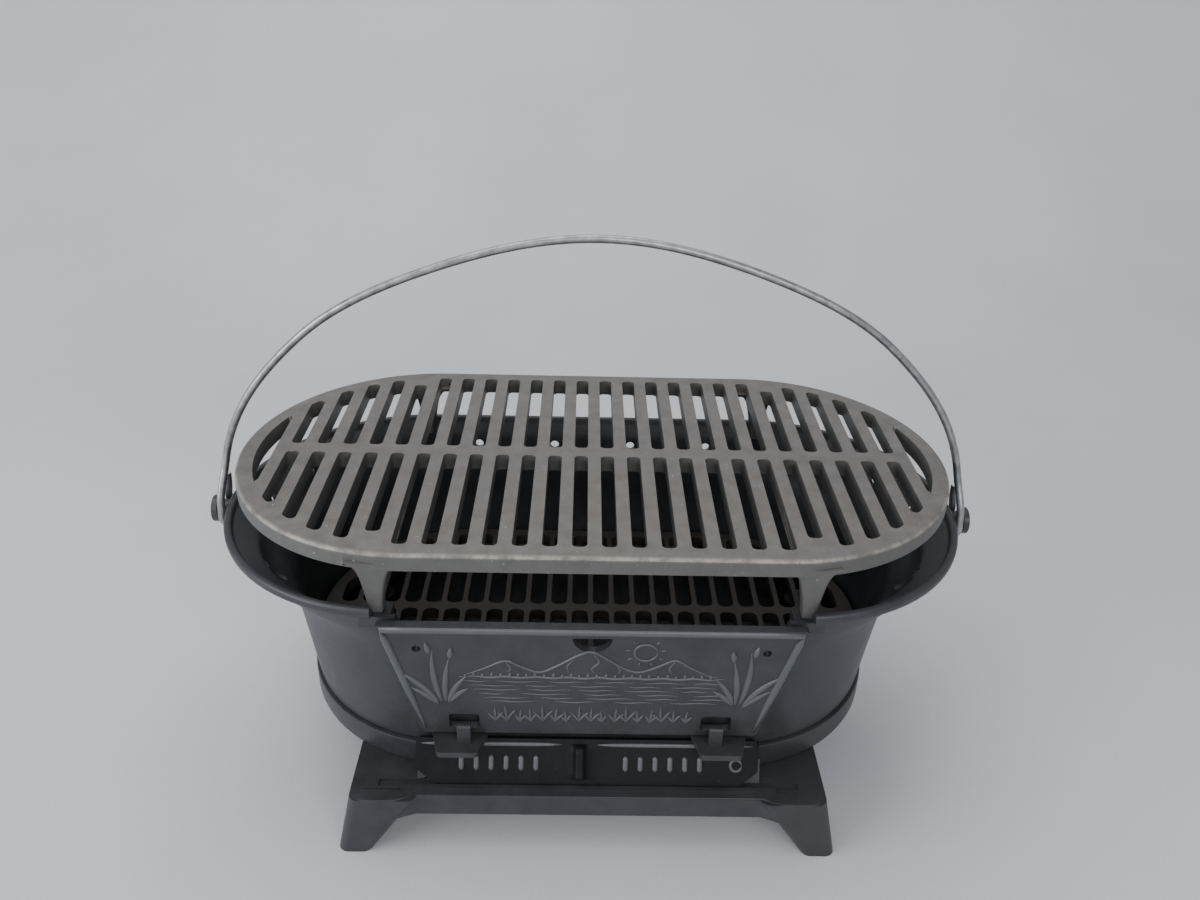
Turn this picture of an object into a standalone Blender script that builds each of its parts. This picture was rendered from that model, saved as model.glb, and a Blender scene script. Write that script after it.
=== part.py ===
"""Oval cast-iron hibachi grill: fire bowl on a footed base, cooking grate, charcoal grate,
hinged fire door, sliding draft door and wire bail. X runs along the oval, the doors face -Y."""

import math

import bmesh
import bpy
from mathutils import Matrix, Vector

MM = 0.001
GAP = 0.3 * MM

# Fire bowl: a foot that drops into the base's collar, and then (half length, half depth,
# height) of the outside, from the shoulder that hides the collar to under the lip.
FOOT_HALF_LENGTH = 181.0 * MM
FOOT_HALF_DEPTH = 95.6 * MM
FOOT_CLEARANCE = 0.8 * MM
BOWL_SECTIONS = (
    (184.8 * MM, 99.2 * MM, 62.8 * MM),
    (194.5 * MM, 105.0 * MM, 138.0 * MM),
    (209.0 * MM, 109.0 * MM, 151.0 * MM),
    (216.0 * MM, 111.5 * MM, 165.0 * MM),
    (224.0 * MM, 113.5 * MM, 169.0 * MM),
)
WALL = 4.0 * MM
RIM_HALF_LENGTH = 231.0 * MM
RIM_HALF_DEPTH = 117.5 * MM
RIM_TOP = 176.0 * MM
LIP_BOTTOM = 169.8 * MM
LIP = 5.0 * MM
SEAT_TOP = 168.0 * MM
SEAT_HEIGHT = 10.0 * MM
SEAT_INNER_Y = 99.0 * MM
SEAT_OUTER_Y = 109.0 * MM
SEAT_TOWARDS_MIDDLE = 8.0 * MM
SEAT_TOWARDS_END = 10.0 * MM
LEDGE_TOP = 80.7 * MM
LEDGE_WIDTH = 9.0 * MM
LEDGE_THICKNESS = 4.0 * MM
ARC_STEPS = 18

# Vent holes: their angles round each end, and their places along the back.
VENT_RADIUS = 3.25 * MM
VENT_HEIGHT = 162.0 * MM
LOWER_VENT_HEIGHT = 151.0 * MM
VENT_ANGLES = (-56.0, -31.0, -9.0, 9.0, 31.0, 56.0)
LOWER_VENT_ANGLES = (-31.0, 31.0)
BACK_VENTS = (28.0 * MM, 84.0 * MM)
BACK_VENT_HEIGHT = 157.0 * MM
BACK_VENT_Y = 110.0 * MM
VENT_WALL_RADIUS = 110.5 * MM
VENT_WALL_CENTRE = 104.5 * MM
LOWER_VENT_WALL_RADIUS = 107.5 * MM
LOWER_VENT_WALL_CENTRE = 100.0 * MM
VENT_CUT_INWARD = 14.0 * MM
VENT_CUT_LENGTH = 34.0 * MM

# Ears that carry the bail.
EAR_HEIGHT = 165.0 * MM
NECK_RADIUS = 6.0 * MM
NECK_INNER_END = 214.0 * MM
HEAD_START = 239.6 * MM
HEAD_END = 243.2 * MM
HEAD_RADIUS = 8.6 * MM

# Bail: nearly half an ellipse that stands on the ears' axis, a little flat on its shoulders
# and full lower down, ending in a hook round each neck.
WIRE_RADIUS = 2.4 * MM
BAIL_HALF_SPAN = 236.4 * MM
BAIL_RISE = 191.0 * MM
BAIL_CENTRE_HEIGHT = 157.0 * MM
BAIL_FLAT = 3.1 * MM
BAIL_FULL = 1.6 * MM
BAIL_TURN = math.radians(48)
HOOK_RADIUS = NECK_RADIUS + WIRE_RADIUS + 0.4 * MM
BAIL_SWEEP_START = 200.0 * MM
BAIL_SWEEP_END = 8.0 * MM
BAIL_BEND_START = 4.0 * MM
BAIL_STEPS = 26
BAIL_STEP_SPREAD = 0.93
HOOK_STEPS = 8
HOOK_TIP = (
    (236.2 * MM, 8.8 * MM, 171.0 * MM),
    (235.9 * MM, 8.5 * MM, 177.0 * MM),
    (235.3 * MM, 7.8 * MM, 182.0 * MM),
    (234.5 * MM, 6.8 * MM, 186.0 * MM),
    (233.6 * MM, 5.6 * MM, 189.0 * MM),
)

# Cooking grate.
GRATE_TOP = 211.0 * MM
GRATE_THICKNESS = 10.5 * MM
GRATE_HALF_LENGTH = 219.1 * MM
GRATE_HALF_DEPTH = 114.3 * MM
GRATE_RIM = 10.3 * MM
GRATE_RIB = 10.6 * MM
GRATE_PITCH = 16.2 * MM
GRATE_SLOT = 8.4 * MM
GRATE_COLUMNS = 12
SHORT_COLUMN = 7
SHORT_COLUMN_END = 92.0 * MM
LEG_CENTRE = 119.6 * MM
LEG_TOP_CENTRE = 118.4 * MM
LEG_TOP_WIDTH = 22.0 * MM
LEG_TOP_DEPTH = 14.0 * MM
LEG_FOOT_WIDTH = 7.6 * MM
LEG_MIDDLE_WIDTH = 13.5 * MM
LEG_MIDDLE_DEPTH = 11.0 * MM
LEG_MIDDLE_FACE = 113.2 * MM
LEG_FOOT_DEPTH = 8.5 * MM
LEG_FOOT_FACE = 110.0 * MM
LEG_MIDDLE_PART = 0.65
LEG_INTO_GRATE = 5.0 * MM
LEG_TOP_INSET = 0.6 * MM
LEG_EDGE_RADIUS = 1.5 * MM
GRATE_SLOT_RADIUS = 2.8 * MM
GRATE_ARC_STEPS = 24
CRESCENT_MARGIN = 1.5 * MM
CRESCENT_CHAMFER = 3.0 * MM
CRESCENT_STEPS = 12

# Charcoal grate.
COAL_TOP = 89.0 * MM
COAL_HALF_LENGTH = 181.0 * MM
COAL_HALF_DEPTH = 94.3 * MM
COAL_RIM = 7.0 * MM
COAL_RIB = 6.4 * MM
COAL_PITCH = 14.4 * MM
COAL_SLOT = 11.0 * MM
COAL_SLOT_RADIUS = 4.4 * MM

# Fire door: a plate that leans out with the bowl's flare and turns on its bottom bar.
HINGE_Y = -104.2 * MM
HINGE_Z = 79.5 * MM
DOOR_TILT = math.radians(7.1)
DOOR_THICKNESS = 4.6 * MM
DOOR_TOP = 87.0 * MM
DOOR_TOP_HALF_WIDTH = 120.0 * MM
DOOR_BOTTOM_HALF_WIDTH = 99.5 * MM
DOOR_BORDER = 5.0 * MM
DOOR_BORDER_RISE = 1.8 * MM
DOOR_SLOT_WIDTH = 18.0 * MM
DOOR_SLOT_TOP = 14.5 * MM
DOOR_HOLE_X = 98.0 * MM
DOOR_HOLE_HEIGHT = 69.5 * MM
DOOR_HOLE_RADIUS = 2.5 * MM
FINGER_RADIUS = 11.0 * MM
FINGER_HEIGHT = 79.5 * MM
OPENING_TOP_HALF_WIDTH = 109.0 * MM
OPENING_BOTTOM_HALF_WIDTH = 92.0 * MM
OPENING_BOTTOM = 88.0 * MM
LIP_CUT_HALF_WIDTH = 121.5 * MM
OPENING_ABOVE_RIM = 10.0 * MM
OPENING_FRONT_Y = -130.0 * MM
OPENING_BACK_Y = -84.0 * MM
LIP_CUT_BACK_Y = -96.0 * MM
DOOR_CORNER_RADIUS = 2.0 * MM
DOOR_HOLE_STEPS = 12
FINGER_STEPS = 10
BORDER_INSET = 0.4 * MM
BORDER_OUTER_RADIUS = 1.6 * MM
BORDER_INNER_RADIUS = 1.0 * MM
BORDER_INTO_DOOR = 1.0 * MM
BORDER_FOOT = 93.0 * MM
BORDER_CUT_LOW = (-130.0 * MM, -130.0 * MM, 70.0 * MM)
BORDER_CUT_HIGH = (130.0 * MM, -90.0 * MM, BORDER_FOOT)

# Tongues that the fire door hangs on.
TONGUE_X = 78.0 * MM
NUB_X = 74.5 * MM
TONGUE_ROOT_HALF_WIDTH = 18.0 * MM
TONGUE_TIP_HALF_WIDTH = 12.0 * MM
TONGUE_TIP_Y = -120.8 * MM
TONGUE_TOP = 75.0 * MM
TONGUE_THICKNESS = 4.0 * MM
NUB_HALF_WIDTH = 4.0 * MM
NUB_BACK_Y = -108.6 * MM
NUB_FRONT_Y = -113.5 * MM
NUB_TOP = 88.0 * MM
TONGUE_ROOT_Y = -98.0 * MM
TONGUE_CORNER_RADIUS = 3.0 * MM
NUB_INTO_TONGUE = 2.0 * MM
NUB_EDGE_RADIUS = 1.6 * MM
GUIDE_HALF_WIDTH = 10.0 * MM
GUIDE_FRONT_Y = -109.4 * MM
GUIDE_BACK_Y = -106.4 * MM
GUIDE_BOTTOM = 69.2 * MM
GUIDE_INTO_TONGUE = 1.0 * MM

# Base.
COLLAR_HALF_LENGTH = 187.0 * MM
COLLAR_HALF_DEPTH = 102.0 * MM
COLLAR_TOP = 62.5 * MM
BOWL_SEAT = 58.0 * MM
FLOOR_TOP = 45.0 * MM
FLOOR_BOTTOM = 41.0 * MM
PLATFORM_HALF_LENGTH = 143.0 * MM
PLATFORM_HALF_DEPTH = 130.0 * MM
APRON_RECESS = 4.5 * MM
APRON_HALF_LENGTH = 104.0 * MM
APRON_BOTTOM = 29.0 * MM
APRON_WALL = 4.0 * MM
FRONT_HALF_WIDTH = 104.0 * MM
FOOT_OUTER = 153.0 * MM
FOOT_INNER = 132.0 * MM
FOOT_INNER_Y = 106.0 * MM
LEG_INNER = 102.0 * MM
LEG_INNER_Y = 96.0 * MM
LEG_WALL = 5.5 * MM
CORNER_RADIUS = 9.0 * MM
COLLAR_EDGE = 1.0 * MM
COLLAR_FOOT_INSET = 7.0 * MM
COLLAR_WALL_START = 2.0 * MM
BOWL_SEAT_WIDTH = 5.0 * MM
PAN_INSET_X = 9.0 * MM
PAN_INSET_Y = 8.0 * MM
APRON_STEP = 12.0 * MM
APRON_INNER_RADIUS = 4.0 * MM
APRON_OVERLAP = 0.05 * MM
INTO_PLATFORM = 1.0 * MM
LEG_CUT_REACH = 40.0 * MM
LEG_CUT_RADIUS = 3.0 * MM
LEG_CUT_BELOW = -2.0 * MM
LEG_RADIUS_SHARE = 0.6
FRONT_WALL_TOP_Y = -96.0 * MM
FRONT_WALL_FOOT_Y = -103.0 * MM
COLLAR_GAP_FRONT_Y = -120.0 * MM
COLLAR_GAP_BACK_Y = -92.0 * MM
COLLAR_GAP_TOP = 80.0 * MM

# Draft door: a leaning plate in a groove of the platform, in front of two draft openings.
DRAFT_REST = -1.2 * MM
DRAFT_HALF_WIDTH = 103.4 * MM
DRAFT_TILT = math.radians(28.1)
DRAFT_FOOT_Y = -117.5 * MM
DRAFT_FOOT_Z = 45.8 * MM
DRAFT_SLANT = 28.0 * MM
DRAFT_THICKNESS = 3.6 * MM
FIN_X = -4.8 * MM
FIN_WIDTH = 5.0 * MM
FIN_RISE = 6.0 * MM
DRAFT_OPENING = (58.0 * MM, 92.0 * MM, 47.0 * MM, 55.5 * MM)
RIDGE_HALF_LENGTH = 113.0 * MM
GROOVE_HALF_LENGTH = 127.0 * MM
GROOVE_BACK_Y = -113.4 * MM
GROOVE_TOP = 49.0 * MM
RIDGE_FRONT_Y = -121.6 * MM
RIDGE_BACK_Y = -118.4 * MM
RIDGE_RISE = 2.4 * MM
DRAFT_PLAY = 0.5 * MM
DRAFT_CUT_FRONT_Y = -130.0 * MM
DRAFT_CUT_BACK_Y = -82.0 * MM
DRAFT_CORNER_X = 12.0 * MM
DRAFT_CORNER_UP = 9.0 * MM
DRAFT_CORNER_RADIUS = 3.0 * MM
FIN_FOOT = 3.5 * MM
FIN_HEAD_INSET = 3.0 * MM
FIN_FLARE_HALF_WIDTH = 9.0 * MM
FIN_FLARE = 1.5 * MM
FIN_FLARE_RISE = 1.6 * MM
FIN_SHOULDER_RISE = 3.6 * MM
FIN_TOP_SHARE = 0.8
FIN_INTO_PLATE = -1.0 * MM

# Four machine screws hold the bowl to the base.
SCREW_ANGLE = math.radians(33.0)
SCREW_CENTRE_X = 85.8 * MM
SCREW_RING = 80.0 * MM
SCREW_RADIUS = 3.0 * MM
SCREW_HOLE_RADIUS = 3.4 * MM
SCREW_END = 31.0 * MM
LUG_TOP = 66.0 * MM
LUG_RADIUS = 9.0 * MM
LUG_REACH = 13.5 * MM
BOSS_RADIUS = 8.0 * MM
HEAD_HEIGHT = 4.0 * MM
HEAD_ACROSS = 10.0 * MM
HEAD_CORNER_RADIUS = HEAD_ACROSS / 2 / math.cos(math.pi / 6)
SHANK_INTO_HEAD = 1.0 * MM
WASHER_RADIUS = 6.5 * MM
WASHER_THICKNESS = 1.6 * MM
NUT_HEIGHT = 5.0 * MM
LUG_HOLE = (55.0 * MM, 80.0 * MM)
BOSS_HOLE = (30.0 * MM, 75.0 * MM)

BLACK_IRON = ("seasoned_cast_iron", (0.035, 0.037, 0.040), 0.46, 0.55)
GREY_IRON = ("bare_cast_iron", (0.165, 0.155, 0.145), 0.55, 0.60)
DARK_IRON = ("sooted_cast_iron", (0.028, 0.025, 0.023), 0.62, 0.45)
BRIGHT_WIRE = ("zinc_wire", (0.42, 0.42, 0.41), 0.36, 0.95)
PLAIN_STEEL = ("plain_steel", (0.33, 0.33, 0.34), 0.38, 0.95)


def clear_scene():
    for obj in list(bpy.data.objects):
        bpy.data.objects.remove(obj, do_unlink=True)


def collection_named(name, hidden=False):
    made = bpy.data.collections.new(name)
    made.hide_render = hidden
    bpy.context.scene.collection.children.link(made)
    return made


def material(name, colour, roughness, metallic):
    """The material of this name, made the first time that it is asked for."""
    made = bpy.data.materials.get(name)
    if made:
        return made
    made = bpy.data.materials.new(name)
    made.use_nodes = True
    shader = made.node_tree.nodes["Principled BSDF"]
    shader.inputs["Base Color"].default_value = (*colour, 1.0)
    shader.inputs["Roughness"].default_value = roughness
    shader.inputs["Metallic"].default_value = metallic
    return made


def object_from(name, mesh_data, collection):
    """A new object: bm is freed. Cutters and pieces to be joined on show as wires."""
    if isinstance(mesh_data, bmesh.types.BMesh):
        bmesh.ops.recalc_face_normals(mesh_data, faces=mesh_data.faces)
        mesh = bpy.data.meshes.new(name)
        mesh_data.to_mesh(mesh)
        mesh_data.free()
    else:
        mesh = mesh_data
    obj = bpy.data.objects.new(name, mesh)
    collection.objects.link(obj)
    if collection is TOOLS:
        obj.hide_render = True
        obj.display_type = "WIRE"
    return obj


def finish(obj, look, smooth_angle=32.0):
    obj.data.materials.clear()
    obj.data.materials.append(material(*look))
    obj.data.shade_smooth()
    obj.data.set_sharp_from_angle(angle=math.radians(smooth_angle))


def boolean(target, operation, others):
    for other in others:
        step = target.modifiers.new(f"{operation.lower()} {other.name}", "BOOLEAN")
        step.operation = operation
        step.solver = "EXACT"
        step.object = other


def rounded(points, radius, steps):
    """A closed outline whose corners are turned into arcs, each with the given number of steps."""
    outline = []
    count = len(points)
    for i, corner in enumerate(points):
        corner = Vector(corner)
        before = (Vector(points[i - 1]) - corner).normalized()
        after = (Vector(points[(i + 1) % count]) - corner).normalized()
        half = before.angle(after) / 2
        centre = corner + (before + after).normalized() * (radius / math.sin(half))
        start = (corner + before * (radius / math.tan(half)) - centre).normalized()
        end = (corner + after * (radius / math.tan(half)) - centre).normalized()
        for step in range(steps + 1):
            outline.append(tuple(centre + start.slerp(end, step / steps) * radius))
    return outline


def stadium(half_length, half_depth, steps=ARC_STEPS):
    """An outline with two straight sides along X and half-circle ends, anticlockwise."""
    centre = half_length - half_depth
    right = [(centre, half_depth, -90 + 180 * i / steps) for i in range(steps + 1)]
    left = [(-centre, half_depth, 90 + 180 * i / steps) for i in range(steps + 1)]
    return [
        (x + r * math.cos(math.radians(a)), r * math.sin(math.radians(a)))
        for x, r, a in right + left
    ]


def ring(outline, height):
    return [Vector((x, y, height)) for x, y in outline]


def loft(name, rings, collection, closed=False):
    """Skins rings of equal point counts. Closed joins the last ring to the first; open is capped."""
    bm = bmesh.new()
    loops = [[bm.verts.new(point) for point in points] for points in rings]
    count = len(loops[0])
    pairs = list(zip(loops, loops[1:]))
    if closed:
        pairs.append((loops[-1], loops[0]))
    else:
        bm.faces.new(loops[0][::-1])
        bm.faces.new(loops[-1])
    for low, high in pairs:
        for i in range(count):
            j = (i + 1) % count
            bm.faces.new((low[i], low[j], high[j], high[i]))
    return object_from(name, bm, collection)


def plate(name, outlines, thickness, collection, transform=Matrix()):
    """A flat plate about z = 0 from an outline and its holes, as a mesh moved by transform."""
    curve = bpy.data.curves.new(name, "CURVE")
    curve.dimensions = "2D"
    curve.fill_mode = "BOTH"
    curve.extrude = thickness / 2
    for outline in outlines:
        spline = curve.splines.new("POLY")
        spline.points.add(len(outline) - 1)
        for point, (x, y) in zip(spline.points, outline):
            point.co = (x, y, 0.0, 1.0)
        spline.use_cyclic_u = True
    drawn = bpy.data.objects.new(name + "_outline", curve)
    TOOLS.objects.link(drawn)
    graph = bpy.context.evaluated_depsgraph_get()
    mesh = bpy.data.meshes.new_from_object(drawn.evaluated_get(graph))
    bpy.data.objects.remove(drawn, do_unlink=True)
    bm = bmesh.new()
    bm.from_mesh(mesh)
    bpy.data.meshes.remove(mesh)
    bmesh.ops.remove_doubles(bm, verts=bm.verts, dist=0.01 * MM)
    flat = [face for face in bm.faces if abs(face.normal.z) > 0.5 or face.calc_area() < MM * MM * 1e-3]
    bmesh.ops.beautify_fill(bm, faces=flat, edges=bm.edges, method="ANGLE")
    bm.transform(transform)
    return object_from(name, bm, collection)


def box(name, low, high, collection):
    bm = bmesh.new()
    size = Vector(high) - Vector(low)
    centre = (Vector(high) + Vector(low)) / 2
    bmesh.ops.create_cube(bm, size=1.0, matrix=Matrix.Translation(centre) @ Matrix.Diagonal((*size, 1)))
    return object_from(name, bm, collection)


def rod(name, start, end, radius, collection, sides=20):
    """A cylinder, or a prism when the sides are few, from start to end."""
    start = Vector(start)
    along = Vector(end) - start
    half_step = Matrix.Rotation(math.pi / sides, 4, "Z")
    turn = Vector((0, 0, 1)).rotation_difference(along).to_matrix().to_4x4() @ half_step
    bm = bmesh.new()
    bmesh.ops.create_cone(
        bm, cap_ends=True, segments=sides, radius1=radius, radius2=radius, depth=along.length,
        matrix=Matrix.Translation(start + along / 2) @ turn,
    )
    return object_from(name, bm, collection)


def washer(name, outer, inner, bottom, top, centre, collection, outer_sides=24, inner_sides=24):
    """A flat ring, or a nut when the outer sides are six, round a vertical axis."""
    outlines = []
    for radius, sides in ((outer, outer_sides), (inner, inner_sides)):
        angles = [2 * math.pi * i / sides for i in range(sides)]
        outlines.append([(radius * math.cos(a), radius * math.sin(a)) for a in angles])
    move = Matrix.Translation((centre[0], centre[1], (bottom + top) / 2))
    return plate(name, outlines, top - bottom, collection, move)


def prism_along_x(name, section, half_width, collection, centre_x=0.0):
    """A prism whose (y, z) section runs from -half_width to half_width about centre_x."""
    rings = [
        [Vector((x, y, z)) for y, z in section]
        for x in (centre_x - half_width, centre_x + half_width)
    ]
    return loft(name, rings, collection)


def screw_places():
    x = SCREW_CENTRE_X + SCREW_RING * math.cos(SCREW_ANGLE)
    y = SCREW_RING * math.sin(SCREW_ANGLE)
    return (
        ("front_left", -x, -y), ("front_right", x, -y),
        ("rear_left", -x, y), ("rear_right", x, y),
    )


def bowl_shell():
    """The bowl's wall with its lip and charcoal ledge: outside up, over the rim, inside down."""
    foot_outline = stadium(FOOT_HALF_LENGTH, FOOT_HALF_DEPTH)
    rings = [ring(foot_outline, BOWL_SEAT + GAP), ring(foot_outline, COLLAR_TOP + GAP)]
    rings += [ring(stadium(length, depth), height) for length, depth, height in BOWL_SECTIONS]
    rings.append(ring(stadium(RIM_HALF_LENGTH, RIM_HALF_DEPTH), LIP_BOTTOM))
    rings.append(ring(stadium(RIM_HALF_LENGTH, RIM_HALF_DEPTH), RIM_TOP))
    rings.append(ring(stadium(RIM_HALF_LENGTH - LIP, RIM_HALF_DEPTH - LIP), RIM_TOP))
    rings.append(ring(stadium(RIM_HALF_LENGTH - LIP, RIM_HALF_DEPTH - LIP), LIP_BOTTOM))
    for length, depth, height in reversed(BOWL_SECTIONS[1:4]):
        rings.append(ring(stadium(length - WALL, depth - WALL), height))
    foot, shoulder = BOWL_SECTIONS[0], BOWL_SECTIONS[1]
    part = (LEDGE_TOP - foot[2]) / (shoulder[2] - foot[2])
    length = foot[0] + part * (shoulder[0] - foot[0]) - WALL
    depth = foot[1] + part * (shoulder[1] - foot[1]) - WALL
    under = LEDGE_TOP - LEDGE_THICKNESS
    rings.append(ring(stadium(length, depth), LEDGE_TOP))
    rings.append(ring(stadium(length - LEDGE_WIDTH, depth - LEDGE_WIDTH), LEDGE_TOP))
    rings.append(ring(stadium(length - LEDGE_WIDTH, depth - LEDGE_WIDTH), under))
    rings.append(ring(stadium(foot[0] - WALL, foot[1] - WALL), under - LEDGE_WIDTH / 2))
    foot_inside = stadium(FOOT_HALF_LENGTH - WALL, FOOT_HALF_DEPTH - WALL)
    rings.append(ring(foot_inside, COLLAR_TOP))
    rings.append(ring(foot_inside, BOWL_SEAT + GAP))
    return loft("fire_bowl", rings, PARTS, closed=True)


def ear(side):
    name = "left" if side < 0 else "right"
    neck = rod(
        f"ear_neck_{name}", (side * NECK_INNER_END, 0, EAR_HEIGHT),
        (side * (HEAD_START + MM), 0, EAR_HEIGHT), NECK_RADIUS, TOOLS,
    )
    head = rod(
        f"ear_head_{name}", (side * HEAD_START, 0, EAR_HEIGHT),
        (side * HEAD_END, 0, EAR_HEIGHT), HEAD_RADIUS, TOOLS,
    )
    return [neck, head]


def leg_seat(side, front):
    """A small lug inside the wall that one leg of the cooking grate stands on."""
    xs = sorted((side * (LEG_CENTRE - SEAT_TOWARDS_MIDDLE), side * (LEG_CENTRE + SEAT_TOWARDS_END)))
    ys = sorted((front * SEAT_INNER_Y, front * SEAT_OUTER_Y))
    bottom = SEAT_TOP - SEAT_HEIGHT
    return box(f"leg_seat_{side}_{front}", (xs[0], ys[0], bottom), (xs[1], ys[1], SEAT_TOP), TOOLS)


def tongue(side):
    """A tongue under the fire door's bottom bar, its upturned nub and the draft door's guide."""
    middle = side * TONGUE_X
    tip, root = TONGUE_TIP_HALF_WIDTH, TONGUE_ROOT_HALF_WIDTH
    corners = [
        (middle - tip, TONGUE_TIP_Y), (middle + tip, TONGUE_TIP_Y),
        (middle + root, TONGUE_ROOT_Y), (middle - root, TONGUE_ROOT_Y),
    ]
    outline = rounded(corners, TONGUE_CORNER_RADIUS, 3)
    move = Matrix.Translation((0, 0, TONGUE_TOP - TONGUE_THICKNESS / 2))
    flat = plate(f"tongue_{side}", [outline], TONGUE_THICKNESS, TOOLS, move)
    nub_foot = TONGUE_TOP - NUB_INTO_TONGUE
    nub_corners = [
        (NUB_FRONT_Y, nub_foot), (NUB_BACK_Y, nub_foot), (NUB_BACK_Y, NUB_TOP), (NUB_FRONT_Y, NUB_TOP),
    ]
    nub_section = rounded(nub_corners, NUB_EDGE_RADIUS, 3)
    nub = prism_along_x(f"nub_{side}", nub_section, NUB_HALF_WIDTH, TOOLS, side * NUB_X)
    guide_top = TONGUE_TOP - TONGUE_THICKNESS + GUIDE_INTO_TONGUE
    guide = box(
        f"draft_guide_{side}", (middle - GUIDE_HALF_WIDTH, GUIDE_FRONT_Y, GUIDE_BOTTOM),
        (middle + GUIDE_HALF_WIDTH, GUIDE_BACK_Y, guide_top), TOOLS,
    )
    return [flat, nub, guide]


def screw_lug(name, x, y):
    """A tab at the bowl's foot with its top face under the screw's head."""
    inward = Vector((x, y, 0)) - Vector((math.copysign(SCREW_CENTRE_X, x), 0, 0))
    outward = inward.normalized()
    sideways = Vector((-outward.y, outward.x, 0))
    centre = Vector((x, y, 0))
    reach = outward * LUG_REACH
    outline = [
        centre - outward * LUG_RADIUS + sideways * LUG_RADIUS * 0.5,
        centre - outward * LUG_RADIUS * 0.5 + sideways * LUG_RADIUS,
        centre + reach + sideways * LUG_RADIUS,
        centre + reach - sideways * LUG_RADIUS,
        centre - outward * LUG_RADIUS * 0.5 - sideways * LUG_RADIUS,
        centre - outward * LUG_RADIUS - sideways * LUG_RADIUS * 0.5,
    ]
    bottom = BOWL_SEAT + GAP
    rings = [[Vector((p.x, p.y, z)) for p in outline] for z in (bottom, LUG_TOP)]
    return loft(f"lug_{name}", rings, TOOLS)


def vent(name, x, y, height, outward):
    start = Vector((x, y, height)) - outward * VENT_CUT_INWARD
    return rod(f"vent_{name}", start, start + outward * VENT_CUT_LENGTH, VENT_RADIUS, TOOLS, sides=12)


def vents():
    """Round holes through the wall, in two rows round the ends and one along the back."""
    made = []
    rows = (
        (VENT_HEIGHT, VENT_WALL_RADIUS, VENT_WALL_CENTRE, VENT_ANGLES),
        (LOWER_VENT_HEIGHT, LOWER_VENT_WALL_RADIUS, LOWER_VENT_WALL_CENTRE, LOWER_VENT_ANGLES),
    )
    backward = Vector((0, 1, 0))
    for side in (-1, 1):
        for height, radius, centre, angles in rows:
            for degrees in angles:
                angle = math.radians(degrees)
                outward = Vector((side * math.cos(angle), math.sin(angle), 0))
                x = side * centre + outward.x * radius
                made.append(vent(f"{side}_{height}_{degrees}", x, outward.y * radius, height, outward))
        for place in BACK_VENTS:
            name = f"back_{side}_{place}"
            made.append(vent(name, side * place, BACK_VENT_Y, BACK_VENT_HEIGHT, backward))
    return made


def door_opening():
    """The cuts for the fire door: a trapezoid through the front wall, and the lip above it."""
    top = RIM_TOP + OPENING_ABOVE_RIM
    slope = (OPENING_TOP_HALF_WIDTH - OPENING_BOTTOM_HALF_WIDTH) / (SEAT_TOP - OPENING_BOTTOM)
    reach = OPENING_TOP_HALF_WIDTH + slope * (top - SEAT_TOP)
    outline = [
        (-OPENING_BOTTOM_HALF_WIDTH, OPENING_BOTTOM), (OPENING_BOTTOM_HALF_WIDTH, OPENING_BOTTOM),
        (reach, top), (-reach, top),
    ]
    rings = [[Vector((x, y, z)) for x, z in outline] for y in (OPENING_FRONT_Y, OPENING_BACK_Y)]
    wall_cut = loft("opening_cut", rings, TOOLS)
    lip_cut = box(
        "lip_cut", (-LIP_CUT_HALF_WIDTH, OPENING_FRONT_Y, SEAT_TOP),
        (LIP_CUT_HALF_WIDTH, LIP_CUT_BACK_Y, top), TOOLS,
    )
    return [wall_cut, lip_cut]


def screw_holes(bottom, top):
    return [
        rod(f"screw_hole_{name}_{bottom:.3f}", (x, y, bottom), (x, y, top), SCREW_HOLE_RADIUS, TOOLS, 16)
        for name, x, y in screw_places()
    ]


def fire_bowl():
    bowl = bowl_shell()
    added = [piece for side in (-1, 1) for piece in ear(side) + tongue(side)]
    added += [leg_seat(side, front) for side in (-1, 1) for front in (-1, 1)]
    added += [screw_lug(name, x, y) for name, x, y in screw_places()]
    boolean(bowl, "UNION", added)
    boolean(bowl, "DIFFERENCE", door_opening() + vents() + screw_holes(*LUG_HOLE))
    finish(bowl, BLACK_IRON)


def base_pan():
    """The oval pan under the bowl: its floor, its seat for the bowl and the collar round it."""
    collar = (COLLAR_HALF_LENGTH, COLLAR_HALF_DEPTH)
    inside = (FOOT_HALF_LENGTH + FOOT_CLEARANCE, FOOT_HALF_DEPTH + FOOT_CLEARANCE)
    rings = [
        ring(stadium(collar[0] - COLLAR_FOOT_INSET, collar[1] - COLLAR_FOOT_INSET), FLOOR_BOTTOM),
        ring(stadium(collar[0] - COLLAR_EDGE, collar[1] - COLLAR_EDGE), FLOOR_TOP),
        ring(stadium(*collar), FLOOR_TOP + COLLAR_WALL_START),
        ring(stadium(*collar), COLLAR_TOP - COLLAR_EDGE),
        ring(stadium(collar[0] - COLLAR_EDGE, collar[1] - COLLAR_EDGE), COLLAR_TOP),
        ring(stadium(*inside), COLLAR_TOP),
        ring(stadium(*inside), BOWL_SEAT),
        ring(stadium(inside[0] - BOWL_SEAT_WIDTH, inside[1] - BOWL_SEAT_WIDTH), BOWL_SEAT),
        ring(stadium(inside[0] - PAN_INSET_X, inside[1] - PAN_INSET_Y), FLOOR_TOP),
    ]
    return loft("base", rings, PARTS)


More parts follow.
